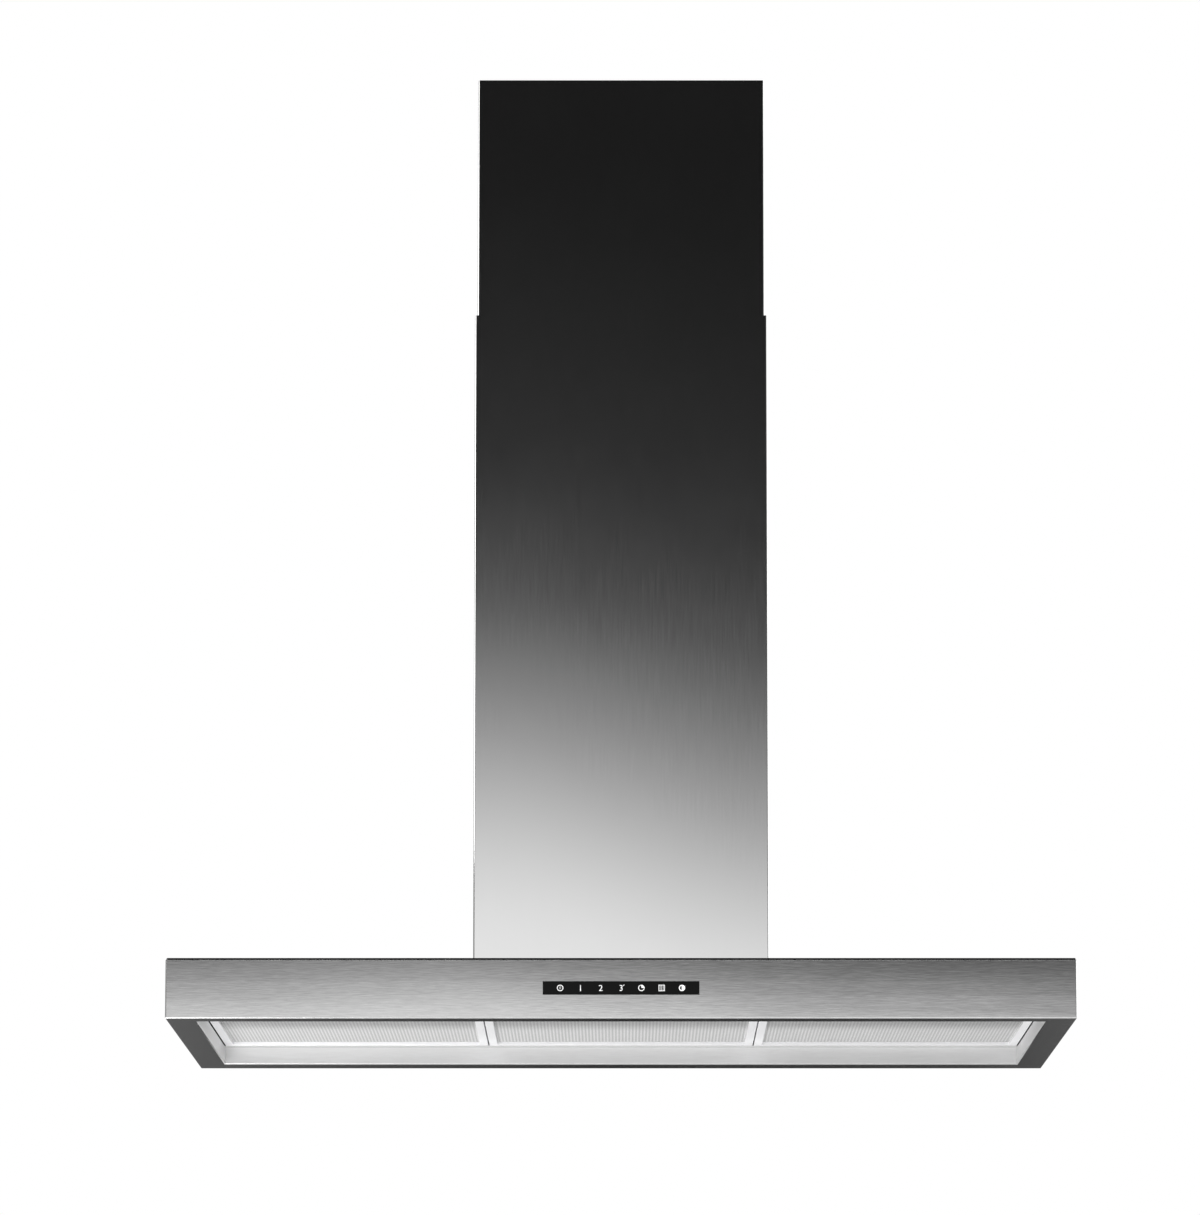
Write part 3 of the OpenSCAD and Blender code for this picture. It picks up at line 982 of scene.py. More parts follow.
@dataclass(frozen=True)
class CircuitBoard(Finish):
    """Green solder mask over copper tracks."""

    def paint(self, graph: Graph) -> None:
        """Builds square cells of mask and track.

        Args:
            graph: The material's empty graph.
        """
        cells = graph.cells(260.0, "Color", "CHEBYCHEV")
        track = graph.add("ShaderNodeSeparateColor", None, {"Color": cells}, "Green")
        graph.principled(
            Base_Color=graph.blend(track.between(0.45, 0.55), (0.012, 0.09, 0.035),
                                   (0.03, 0.19, 0.07)),
            Roughness=0.3 + track * 0.1,
        )


@dataclass(frozen=True)
class Enamel(Finish):
    """Sprayed motor enamel with a slight orange peel."""

    def paint(self, graph: Graph) -> None:
        """Builds a dark coat with the peel in its gloss.

        Args:
            graph: The material's empty graph.
        """
        peel = graph.noise((260, 260, 260), 2)
        dust = graph.noise((35, 35, 35), 4, 0.65)
        graph.principled(
            Base_Color=graph.blend(dust, 0.018, 0.05),
            Roughness=0.3 + dust * 0.25,
            Coat_Weight=0.3,
            Normal=graph.bump(peel, 0.05 * MM),
        )


@dataclass(frozen=True)
class PrintedInk(Finish):
    """White symbols printed on the glass, with a painted glow."""

    def paint(self, graph: Graph) -> None:
        """Builds an even white with the screen's faint grain, and a faint emission that paints a glow
        on the print.

        Args:
            graph: The material's empty graph.
        """
        screen = graph.noise((2500, 2500, 2500), 1)
        graph.principled(
            Base_Color=graph.blend(screen, 0.8, 0.95),
            # painted glow: the print emits a little light of its own though it is no lamp
            Emission_Color=graph.blend(screen, 0.75, 0.9),
            Emission_Strength=0.35,
            Roughness=0.5,
        )


COVER_STEEL = BrushedSteel("cover_steel", Grain.UPRIGHT, 0.6, 0.065, 0.04, 0.0006 * MM)
CANOPY_STEEL = BrushedSteel("canopy_steel", Grain.LEVEL, 0.6, 0.085, 0.42, 0.003 * MM)
PANEL_STEEL = BrushedSteel("panel_steel", Grain.FLAT, 0.6, 0.2, 0.06, 0.003 * MM)
# Painted light: the recess walls are the same sheet as the shell, given a lighter tone and a rougher
# gloss
LIT_WALL_STEEL = BrushedSteel("wall_steel_painted_light", Grain.LEVEL, 0.66, 0.32, 0.1, 0.002 * MM)
# Painted shade: a near-black steel for the top panel's rolled edge, standing in for the shadow gap
# along it
SHADE_LINE_STEEL = BrushedSteel("painted_shade_line", Grain.LEVEL, 0.02, 0.5, 0.2)
ZINC = ZincSheet("zinc_sheet")
SCREW_STEEL = SatinMetal("screw_steel", 0.42, 1.0, 0.3)
FILTER_ALUMINIUM = SatinMetal("filter_aluminium", 0.98, 0.0, 0.4)
BLADE_ALUMINIUM = SatinMetal("blade_aluminium", 0.72, 1.0, 0.33)
GLASS = BlackGlass("control_glass")
LENS = FrostedLens("lamp_lens")
BLACK_PLASTIC = MouldedPlastic("black_plastic")
WHITE_PLASTIC = MouldedPlastic("white_plastic", (0.72, 0.72, 0.69), 0.38)
FOAM = SealFoam("seal_foam")
BOARD = CircuitBoard("circuit_board")
MOTOR_ENAMEL = Enamel("motor_enamel")
INK = PrintedInk("printed_ink_painted_glow")

SLOT_FINISHES: dict[str, Finish] = {
    "brushed_cover": COVER_STEEL,
    "brushed_canopy": PANEL_STEEL,
    "zinc_sheet": ZINC,
    "screw_steel": SCREW_STEEL,
    "filter_aluminium": FILTER_ALUMINIUM,
    "filter_mesh_aluminium": FILTER_ALUMINIUM,
    "blade_aluminium": BLADE_ALUMINIUM,
    "glass_black": GLASS,
    "lamp_lens": LENS,
    "black_plastic": BLACK_PLASTIC,
    "white_plastic": WHITE_PLASTIC,
    "board_green": BOARD,
    "gasket_foam": FOAM,
    "motor_paint": MOTOR_ENAMEL,
}


# ---- chimney ----


class Half(Enum):
    """The two halves of a cover, with the side of the origin that each lies on."""

    FRONT = -1
    REAR = 1


def upright(a: Vector, b: Vector) -> bool:
    """Tells whether an edge stands upright."""
    return abs(a.x - b.x) < TINY and abs(a.y - b.y) < TINY


@dataclass
class Cover:
    """A square chimney cover of two bent halves, screwed together along its sides."""

    name: str
    body: str
    seam_rows: tuple[float, ...]
    tab_row: Optional[float] = None
    sheet: float = 0.8 * MM
    bend: float = 1.5 * MM
    hem: float = 0.0
    hem_bend: float = 0.9 * MM
    lip: float = 14 * MM
    tab_side: float = 40 * MM
    hole: float = 1.6 * MM
    head: float = 3.4 * MM
    head_rise: float = 0.7 * MM
    shank: float = 1.5 * MM
    cross_reach: float = 2.0 * MM
    cross_half: float = 0.42 * MM

    def build(self) -> None:
        """Models both halves and the screws."""
        for half in Half:
            node = f"{self.name}_{half.name.lower()}"
            finished(self.half(half, node), self.body, "brushed_cover", COVER_STEEL, node)
        self.screws()

    @property
    def reach(self) -> float:
        """Half the cover's width."""
        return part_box(f"{self.name}_front")[1].x

    def half(self, half: Half, node: str) -> Workpiece:
        """Models one half as a bent sheet.

        Args:
            half: Which half.
            node: The CAD node that it stands for.

        Returns:
            The half.
        """
        low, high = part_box(node)
        w = self.reach
        near, far = sorted((0.0, half.value * w))
        shell = cube(f"{node}_sheet", (-w, near, low.z), (w, far, high.z))
        with shell.edited():
            shell.pick_faces(lambda n, c: abs(n.z) > 0.9 or abs(c.y) < TINY)
            bpy.ops.mesh.delete(type="FACE")
            shell.bevel_edges(lambda a, b: upright(a, b) and abs(a.y) > w / 2, self.bend, 5)
            if self.hem:
                self._roll_hem(shell, low.z)
        shell.thicken(self.sheet)
        if half is Half.REAR:
            shell.join(*(self._lip(side, low.z, high.z) for side in (-1, 1)))
        return shell.cut_with(*self._hole_cutters(half)).shade()

    def _roll_hem(self, shell: Workpiece, foot: float) -> None:
        """Turns the lower edge of a half inwards.

        Args:
            shell: The half, in edit mode.
            foot: The height of its lower edge.
        """
        w = self.reach
        at_foot = lambda co: co.z < foot + TINY
        shell.pick_edges(lambda a, b: at_foot(a) and at_foot(b))
        shell.extrude_rim(0, 1 - self.hem / w, (0, 0, foot))
        outside = lambda co: at_foot(co) and max(abs(co.x), abs(co.y)) > w - self.hem / 2
        shell.bevel_edges(lambda a, b: outside(a) and outside(b), self.hem_bend, 3)

    def _lip(self, side: int, foot: float, top: float) -> Workpiece:
        """Models a lip behind the seam.

        Args:
            side: -1 for the left lip and 1 for the right one.
            foot: The height of its lower end.
            top: The height of its upper end.

        Returns:
            The lip.
        """
        inner, outer = sorted((side * (self.reach - 2 * self.sheet), side * (self.reach - self.sheet)))
        return softened_box("lip", (inner, -self.lip, foot), (outer, self.lip / 2, top), 0.15 * MM, 1)

    def _hole_cutters(self, half: Half) -> list[Workpiece]:
        """Makes the cutters for a half's screw holes.

        Args:
            half: Which half.

        Returns:
            The cutters.
        """
        run = 2.4 * (self.reach + self.lip)
        places = [(-self.lip / 2, row) for row in self.seam_rows]
        if self.tab_row is not None:
            places.append((half.value * self.tab_side, self.tab_row))
        return [peg("cutter", self.hole, (-run / 2, y, z), run, "X", 24) for y, z in places]

    def screw(self) -> Workpiece:
        """Models a flat-headed screw with a cross recess on the right side's plane.

        Returns:
            The screw.
        """
        dome = [(self.shank, -2 * self.sheet), (self.shank, 0.001 * MM), (self.head, 0.002 * MM),
                (self.head, self.head_rise * 0.45), (self.head * 0.93, self.head_rise * 0.85),
                (self.head * 0.8, self.head_rise)]
        body = lathed("screw", dome, 32)
        arms = [(self.cross_reach, self.cross_half), (self.cross_half, self.cross_reach)]
        deep = self.head_rise * 0.4
        body.cut_with(*(cube("cutter", (-x, -y, deep), (x, y, MM)) for x, y in arms))
        return body.shade(35).turned("Y", 90).moved((self.reach, 0, 0))

    def screws(self) -> None:
        """Models one screw and sets its copies along the seams and at the tabs."""
        model = self.screw()
        places = [(-self.lip / 2, row) for row in self.seam_rows]
        if self.tab_row is not None:
            places += [(side * self.tab_side, self.tab_row) for side in (-1, 1)]
        copies = []
        for y, z in places:
            copies.append(model.copy("screw").moved((0, y, z)))
            copies.append(model.copy("screw").turned("Z", 180).moved((0, y, z)))
        bpy.data.objects.remove(model.obj)
        first = copies[0].join(*copies[1:])
        first.obj.name = f"{self.name}_cross_screws"
        finished(first, self.body, "brushed_cover", SCREW_STEEL, f"{self.name}_screws")


# ---- canopy ----


@dataclass
class Canopy:
    """The flat steel canopy: its folded shell and its top panel."""

    sheet: float = 1.2 * MM
    rim_side: float = 29 * MM
    rim_front: float = 34 * MM
    rim_rear: float = 50 * MM
    recess: float = 18 * MM
    bend: float = 1.3 * MM
    recess_bend: float = 1.4 * MM
    flange: float = 8 * MM
    lean_foot: float = 0.53
    lean_top: float = 1.14
    rows: int = 8
    guard: float = 0.15 * MM
    glass_gap: float = 0.2 * MM
    top_bend: float = 1.1 * MM
    rail_sheet: float = 2 * MM
    ring_bend: float = 0.8 * MM
    intake_border: float = 14 * MM
    base_hole: float = 2.6 * MM
    base_hole_inset: float = 16.65 * MM
    casing_hole: float = 2.2 * MM
    casing_head: float = 4 * MM
    casing_cut: float = 8 * MM
    hole_corners: int = 20

    def build(self) -> None:
        """Models the shell and the top panel."""
        low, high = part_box("canopy_top")
        shell, panel = self.shell(), self.top()
        finished(shell, "hood", "brushed_canopy", CANOPY_STEEL, "canopy_shell")
        finished(panel, "hood", "brushed_canopy", PANEL_STEEL, "canopy_top")
        inside = lambda c: (
            abs(c.x) < high.x - self.rim_side / 2
            and low.y + self.rim_front / 2 < c.y < high.y - self.rim_rear / 2
        )
        at_edge = lambda c: (
            min(c.x - low.x, high.x - c.x, c.y - low.y, high.y - c.y) < self.top_bend
        )
        # painted light: the recess walls get the lighter copy of the shell's steel
        refinish(shell, LIT_WALL_STEEL, lambda n, c: abs(n.z) < 0.3 and inside(c))
        # painted shade: the top panel's rolled edge gets the near-black steel for the shadow gap along
        # it
        refinish(panel, SHADE_LINE_STEEL, lambda n, c: abs(n.z) < 0.95 and at_edge(c))

    def shell(self) -> Workpiece:
        """Models the walls, the rim and the recess's walls from one folded sheet.

        Returns:
            The shell.
        """
        low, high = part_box("canopy_shell")
        shell = cube("canopy_folded_shell", low, high)
        with shell.edited():
            shell.pick_faces(lambda n, c: n.z > 0.9)
            bpy.ops.mesh.delete(type="FACE")
            self._fold_recess(shell, low, high)
            self._fold_flange(shell, low, high)
            self._round_bends(shell, low, high)
            self._open_for_glass(shell, low)
            self._bow_front(shell, low, high)
        return shell.thicken(self.sheet).shade()

    def _fold_recess(self, shell: Workpiece, low: Vector, high: Vector) -> None:
        """Opens the underside and folds the recess's walls up from the rim.

        Args:
            shell: The box without its top, in edit mode.
            low: Its lowest corner.
            high: Its highest corner.
        """
        depth = high.y - low.y
        recess_depth = depth - self.rim_front - self.rim_rear
        shell.pick_faces(lambda n, c: n.z < -0.9)
        bpy.ops.mesh.inset(thickness=self.rim_side, use_even_offset=True)
        bpy.ops.transform.resize(
            value=(1, recess_depth / (depth - 2 * self.rim_side), 1),
            center_override=((low.x + high.x) / 2, (low.y + high.y) / 2, low.z),
        )
        bpy.ops.transform.translate(value=(0, (self.rim_front - self.rim_rear) / 2, 0))
        shell.extrude_faces((0, 0, self.recess))
        bpy.ops.mesh.delete(type="FACE")

    def _fold_flange(self, shell: Workpiece, low: Vector, high: Vector) -> None:
        """Folds a narrow flange inwards along the top of the walls.

        Args:
            shell: The shell, in edit mode.
            low: Its lowest corner.
            high: Its highest corner.
        """
        at_top = lambda co: co.z > high.z - TINY
        shell.pick_edges(lambda a, b: at_top(a) and at_top(b))
        bpy.ops.mesh.extrude_edges_move(TRANSFORM_OT_translate={"value": (0, 0, 0)})
        shrink = [1 - 2 * self.flange / (high[axis] - low[axis]) for axis in (0, 1)]
        bpy.ops.transform.resize(
            value=(shrink[0], shrink[1], 1),
            center_override=((low.x + high.x) / 2, (low.y + high.y) / 2, high.z),
        )

    def _round_bends(self, shell: Workpiece, low: Vector, high: Vector) -> None:
        """Rounds the folds.

        Args:
            shell: The shell, in edit mode.
            low: Its lowest corner.
            high: Its highest corner.
        """
        at = lambda height: lambda co: abs(co.z - height) < TINY
        foot, top = at(low.z), at(high.z)
        walled = lambda co: (
            min(co.x - low.x, high.x - co.x) < TINY or min(co.y - low.y, high.y - co.y) < TINY
        )
        shell.bevel_edges(
            lambda a, b: foot(a) and foot(b) and not walled(a) and not walled(b),
            self.recess_bend, 4,
        )
        shell.bevel_edges(
            lambda a, b: walled(a) and walled(b)
            and (upright(a, b) or (foot(a) and foot(b)) or (top(a) and top(b))),
            self.bend, 4,
        )

    def _open_for_glass(self, shell: Workpiece, low: Vector) -> None:
        """Cuts the window for the control glass out of the front wall.

        Args:
            shell: The shell, in edit mode.
            low: Its lowest corner.
        """
        glass_low, glass_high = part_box("control_glass")
        gap = Vector((self.glass_gap, 0, self.glass_gap))
        opening = (glass_low - gap, glass_high + gap)
        front = lambda n, c: n.y < -0.99 and c.y < low.y + TINY
        for corner in opening:
            for normal in ((1, 0, 0), (0, 0, 1)):
                shell.pick_faces(front)
                bpy.ops.mesh.bisect(plane_co=corner, plane_no=normal)
        shell.pick_faces(
            lambda n, c: front(n, c)
            and opening[0].x < c.x < opening[1].x and opening[0].z < c.z < opening[1].z
        )
        bpy.ops.mesh.delete(type="FACE")

    def _bow_front(self, shell: Workpiece, low: Vector, high: Vector) -> None:
        """Lays the front wall back a little more from row to row.

        Args:
            shell: The shell, in edit mode.
            low: Its lowest corner.
            high: Its highest corner.
        """
        height = high.z - low.z
        guard = self.bend + self.guard
        levels = [height * row / self.rows for row in range(1, self.rows)]
        for level in [guard, *levels, height - guard]:
            shell.pick_faces(lambda n, c: n.y < -0.99 and c.y < low.y + TINY)
            bpy.ops.mesh.bisect(plane_co=(0, low.y, low.z + level), plane_no=(0, 0, 1))
        foot_slope, top_slope = (math.tan(math.radians(a)) for a in (self.lean_foot, self.lean_top))
        mesh = bmesh.from_edit_mesh(shell.obj.data)
        band = low.y + self.bend + TINY
        levels = sorted({round((v.co.z - low.z) / TINY) for v in mesh.verts if v.co.y < band})
        for level in levels:
            z = level * TINY
            setback = z * foot_slope + (top_slope - foot_slope) * z * z / (2 * height)
            shell.pick_corners(lambda co: co.y < band + setback and abs(co.z - low.z - z) < TINY)
            bpy.ops.transform.translate(value=(0, setback, 0))

    def top(self) -> Workpiece:
        """Models the top panel with its rolled edge, and the ring that the frame fits round.

        Returns:
            The top panel.
        """
        low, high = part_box("canopy_top")
        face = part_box("canopy_shell")[1].z + self.sheet
        panel = cube("canopy_top_panel", low, (high.x, high.y, face))
        with panel.edited():
            level = lambda a, b: a.z > face - TINY and b.z > face - TINY
            panel.bevel_edges(level, self.top_bend, 4)
        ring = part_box("lower_rail_front_left")[0].x * -1 - self.rail_sheet
        collar = cube("base_ring", (-ring, -ring, face - self.sheet / 2), (ring, ring, high.z))
        with collar.edited():
            collar.pick_faces(lambda n, c: abs(n.z) > 0.9)
            bpy.ops.mesh.delete(type="FACE")
            collar.bevel_edges(upright, self.ring_bend, 3)
        collar.thicken(self.sheet)
        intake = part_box("blower_gasket")[1].x - self.intake_border
        hole = cube("cutter", (-intake, -intake, low.z - MM), (intake, intake, face + MM))
        return panel.cut_with(hole).join(collar).cut_with(*self._screw_cutters(ring)).shade()

    def _screw_cutters(self, ring: float) -> list[Workpiece]:
        """Makes the cutters for the screws through the ring and the panel.

        Args:
            ring: Half the base ring's width.

        Returns:
            The cutters.
        """
        base_low, base_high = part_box("base_screws")
        height = (base_low.z + base_high.z) / 2
        along = base_high.x - self.base_hole_inset
        run = 2 * ring + 2 * MM
        cutters = []
        for side in (-1, 1):
            for axis, start in (("X", (-ring - MM, side * along)), ("Y", (side * along, -ring - MM))):
                cutters.append(
                    peg("cutter", self.base_hole, (*start, height), run, axis, self.hole_corners)
                )
        casing_low, casing_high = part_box("casing_screws")
        head = self.casing_head
        for x in (casing_low.x + head, casing_high.x - head):
            for y in (casing_low.y + head, casing_high.y - head):
                place = (x, y, casing_low.z)
                cutters.append(
                    peg("cutter", self.casing_hole, place, self.casing_cut, "Z", self.hole_corners)
                )
        return cutters


# ---- filters ----


@dataclass
class Filters:
    """Three grease filters: a mitred frame, an expanded mesh and a finger latch each."""

    bar: float = 8.5 * MM
    front_bar: float = 26 * MM
    height: float = 10 * MM
    edge: float = 0.45 * MM
    tab: float = 10 * MM
    tab_width: float = 30 * MM
    tab_sheet: float = 1.2 * MM
    tab_rise: float = 1.5 * MM
    window_setback: float = 6 * MM
    window_depth: float = 14 * MM
    window_width: float = 48.4 * MM
    travel: float = 3.5 * MM
    floor: float = 2 * MM
    play: float = 0.2 * MM
    slide_side: float = 4.6 * MM
    slide_front: float = 3.6 * MM
    slide_rear: float = 0.5 * MM
    slide_rise: float = 3 * MM
    nose_slot: float = 2.4 * MM
    nose_rise: float = 1.8 * MM
    plate_front: float = 3 * MM
    grip_border: float = 2 * MM
    grip_hollow: float = 1.5 * MM
    ribs: int = 8
    rib_half: float = 0.5 * MM
    rib_rise: tuple[float, float] = (0.4 * MM, 1.8 * MM)
    pitch: float = 7 * MM
    knuckle: float = 0.6 * MM
    mesh_setback: float = 2.7 * MM
    mesh_pack: float = 2.4 * MM
    mesh_under: float = 2.5 * MM
    tray_gap: float = 0.05 * MM

    def build(self) -> None:
        """Models one filter and copies it to the three places."""
        self.low, self.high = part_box("filter_frame_middle")
        models = {"frame": self.frame(), "mesh": self.mesh(), "latch": self.latch()}
        mesh_look = ExpandedMesh("filter_mesh", self._mesh_face() - self.knuckle, 2 * self.knuckle)
        rows = {
            "frame": ("filter_{}", "filter_aluminium", FILTER_ALUMINIUM, "filter_frame_{}"),
            "mesh": ("filter_{}", "filter_mesh_aluminium", mesh_look, "filter_mesh_{}"),
            "latch": ("latch_{}", "screw_steel", SCREW_STEEL, "latch_slider_{}"),
        }
        for place in ("left", "middle", "right"):
            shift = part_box(f"filter_frame_{place}")[0].x - self.low.x
            for part, model in models.items():
                body, slot, look, node = rows[part]
                copy = model.copy(f"filter_{place}_{part}").moved((shift, 0, 0))
                finished(copy, body.format(place), slot, look, node.format(place))
        for model in models.values():
            bpy.data.objects.remove(model.obj)

    @property
    def rear(self) -> float:
        """The frame's rear face, in front of its tabs."""
        return self.high.y - self.tab

    def _mesh_face(self) -> float:
        """The middle height of the expanded sheet."""
        return self.low.z + self.mesh_setback + self.knuckle

    def frame(self) -> Workpiece:
        """Models the four bars with mitred ends, the latch's pocket and the rear tabs.

        Returns:
            The frame.
        """
        low, high, rear = self.low, self.high, self.rear
        bars = [
            ((low.x, low.y), (low.x + self.bar, rear)),
            ((high.x - self.bar, low.y), (high.x, rear)),
            ((low.x, low.y), (high.x, low.y + self.front_bar)),
            ((low.x, rear - self.bar), (high.x, rear)),
        ]
        left, right, front, back = (self._mitred_bar(start, end) for start, end in bars)
        front.cut_with(*self._pocket_cutters())
        return front.join(left, right, back, *(self._tab(side) for side in (-1, 1))).shade(40)

    def _mitred_bar(self, start: tuple[float, float], end: tuple[float, float]) -> Workpiece:
        """Models one bar and cuts its ends along the mitres.

        Args:
            start: The left front corner of its box.
            end: The right rear corner of its box.

        Returns:
            The bar.
        """
        bar = cube("bar", (*start, self.low.z), (*end, self.low.z + self.height))
        centre = (Vector(start) + Vector(end)) / 2
        with bar.edited():
            for x, inward in ((self.low.x, 1), (self.high.x, -1)):
                for y, step in ((self.low.y, self.front_bar), (self.rear, -self.bar)):
                    mitre = Vector((inward * self.bar, step))
                    normal = Vector((mitre.y, -mitre.x)).normalized()
                    side = normal.dot(centre - Vector((x, y)))
                    crosses = min(abs(centre.x - x), abs(centre.y - y)) < self.front_bar
                    if crosses:
                        away = -math.copysign(1, side)
                        bar.bisect_all((x, y, 0), (away * normal.x, away * normal.y, 0), True)
            bar.bevel_edges(lambda a, b: True, self.edge, 2)
        return bar

    def _pocket_cutters(self) -> list[Workpiece]:
        """Makes the cutters for the latch's window, its slide and its nose.

        Returns:
            The cutters.
        """
        foot, half = self.low.z, self.window_width / 2
        start = self.low.y + self.window_setback
        stop = start + self.window_depth
        floor = foot + self.floor
        wide, narrow = half + self.slide_side, half / 2 + self.play
        middle = (self.low.x + self.high.x) / 2
        boxes = [
            ((-half, start, foot - MM), (half, stop, floor + MM)),
            ((-wide, start - self.slide_front, floor),
             (wide, stop + self.slide_rear, floor + self.slide_rise)),
            ((-narrow, self.low.y - MM, floor), (narrow, start, floor + self.nose_slot)),
        ]
        shift = Vector((middle, 0, 0))
        return [cube("cutter", Vector(a) + shift, Vector(b) + shift) for a, b in boxes]

    def _tab(self, side: int) -> Workpiece:
        """Models a tab that rests on the ledge.

        Args:
            side: -1 for the left tab and 1 for the right one.

        Returns:
            The tab.
        """
        quarter = (self.high.x - self.low.x) / 4
        left, right = sorted((side * quarter, side * (quarter + self.tab_width)))
        foot = self.low.z + self.tab_rise
        return softened_box(
            "tab", (left, self.rear - 2 * MM, foot),
            (right, self.high.y, foot + self.tab_sheet), 0.3 * MM,
        )

    def mesh(self) -> Workpiece:
        """Models the expanded sheet from one knuckled cell, with the pack's tray behind it.

        Returns:
            The mesh and its tray.
        """
        under = self.mesh_under
        low = Vector((self.low.x + self.bar - under, self.low.y + self.front_bar - under, 0))
        high = Vector((self.high.x - self.bar + under, self.rear - self.bar + under, 0))
        sheet = self._cell(low)
        for axis, span in enumerate((high.x - low.x, high.y - low.y)):
            step = [0.0, 0.0, 0.0]
            step[axis] = self.pitch
            sheet.modify(
                "ARRAY", count=math.ceil(span / self.pitch), use_relative_offset=False,
                use_constant_offset=True, constant_offset_displace=step,
                use_merge_vertices=True, merge_threshold=TINY,
            )
        with sheet.edited():
            for normal in ((1, 0, 0), (0, 1, 0)):
                bpy.ops.mesh.select_all(action="SELECT")
                bpy.ops.mesh.bisect(plane_co=high, plane_no=normal, clear_outer=True)
        only(sheet.obj)
        bpy.ops.object.shade_smooth()
        behind = self._mesh_face() + self.knuckle + self.tray_gap
        top = self.low.z + self.mesh_setback + self.mesh_pack
        tray = softened_box("tray", (low.x, low.y, behind), (high.x, high.y, top), 0.3 * MM)
        return sheet.join(tray)

    def _cell(self, corner: Vector) -> Workpiece:
        """Models one cell of the sheet: knuckles at its corners and centre, hollows between.

        Args:
            corner: The cell's left front corner.

        Returns:
            The cell.
        """
        only()
        middle = (corner.x + self.pitch / 2, corner.y + self.pitch / 2, self._mesh_face())
        bpy.ops.mesh.primitive_plane_add(size=self.pitch, location=middle)
        cell = Workpiece("mesh_cell")
        with cell.edited():
            cell.pick_all()
            bpy.ops.mesh.subdivide(number_cuts=3)
            bpy.ops.mesh.flip_normals()
            for knuckle, shift in ((1, -self.knuckle), (-1, self.knuckle)):
                cell.pick_corners(lambda co: round(self._wave(co, corner)) == knuckle)
                bpy.ops.transform.translate(value=(0, 0, shift))
        return cell

    def _wave(self, co: Vector, corner: Vector) -> float:
        """The height pattern of the sheet: 1 on a knuckle, -1 in a hollow and 0 between.

        Args:
            co: A point of the sheet.
            corner: The cell's left front corner.

        Returns:
            The height.
        """
        return math.cos(FULL_TURN * (co.x - corner.x) / self.pitch) * math.cos(
            FULL_TURN * (co.y - corner.y) / self.pitch
        )

    def latch(self) -> Workpiece:
        """Models the slide: a plate with a ribbed finger grip and a nose.

        Returns:
            The latch.
        """
        low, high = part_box("latch_slider_middle")
        grip_foot = low.z
        floor = self.low.z + self.floor + self.play
        half = self.window_width / 2 - self.play
        front = self.low.y + self.window_setback + self.play
        rear = front + self.window_depth - self.travel - 2 * self.play
        grip = cube("latch_grip", (-half, front, grip_foot), (half, rear, floor + MM))
        with grip.edited():
            grip.pick_faces(lambda n, c: n.z < -0.9)
            bpy.ops.mesh.inset(thickness=self.grip_border)
            grip.extrude_faces((0, 0, self.grip_hollow))
            grip.bevel_edges(lambda a, b: min(a.z, b.z) < grip_foot + TINY, 0.25 * MM, 2)
        plate = softened_box("plate", (low.x, front - self.plate_front, floor),
                             (high.x, high.y, high.z), 0.25 * MM)
        nose = softened_box("nose", (-half / 2, low.y, floor),
                            (half / 2, front, floor + self.nose_rise), 0.3 * MM)
        ribs = []
        foot, top = (grip_foot + rise for rise in self.rib_rise)
        for index in range(1, self.ribs + 1):
            x = -half + index * 2 * half / (self.ribs + 1)
            ribs.append(softened_box("rib", (x - self.rib_half, front + self.grip_border, foot),
                                     (x + self.rib_half, rear - self.grip_border, top), 0.2 * MM))
        return grip.join(plate, nose, *ribs).shade(40)


# ---- controls ----


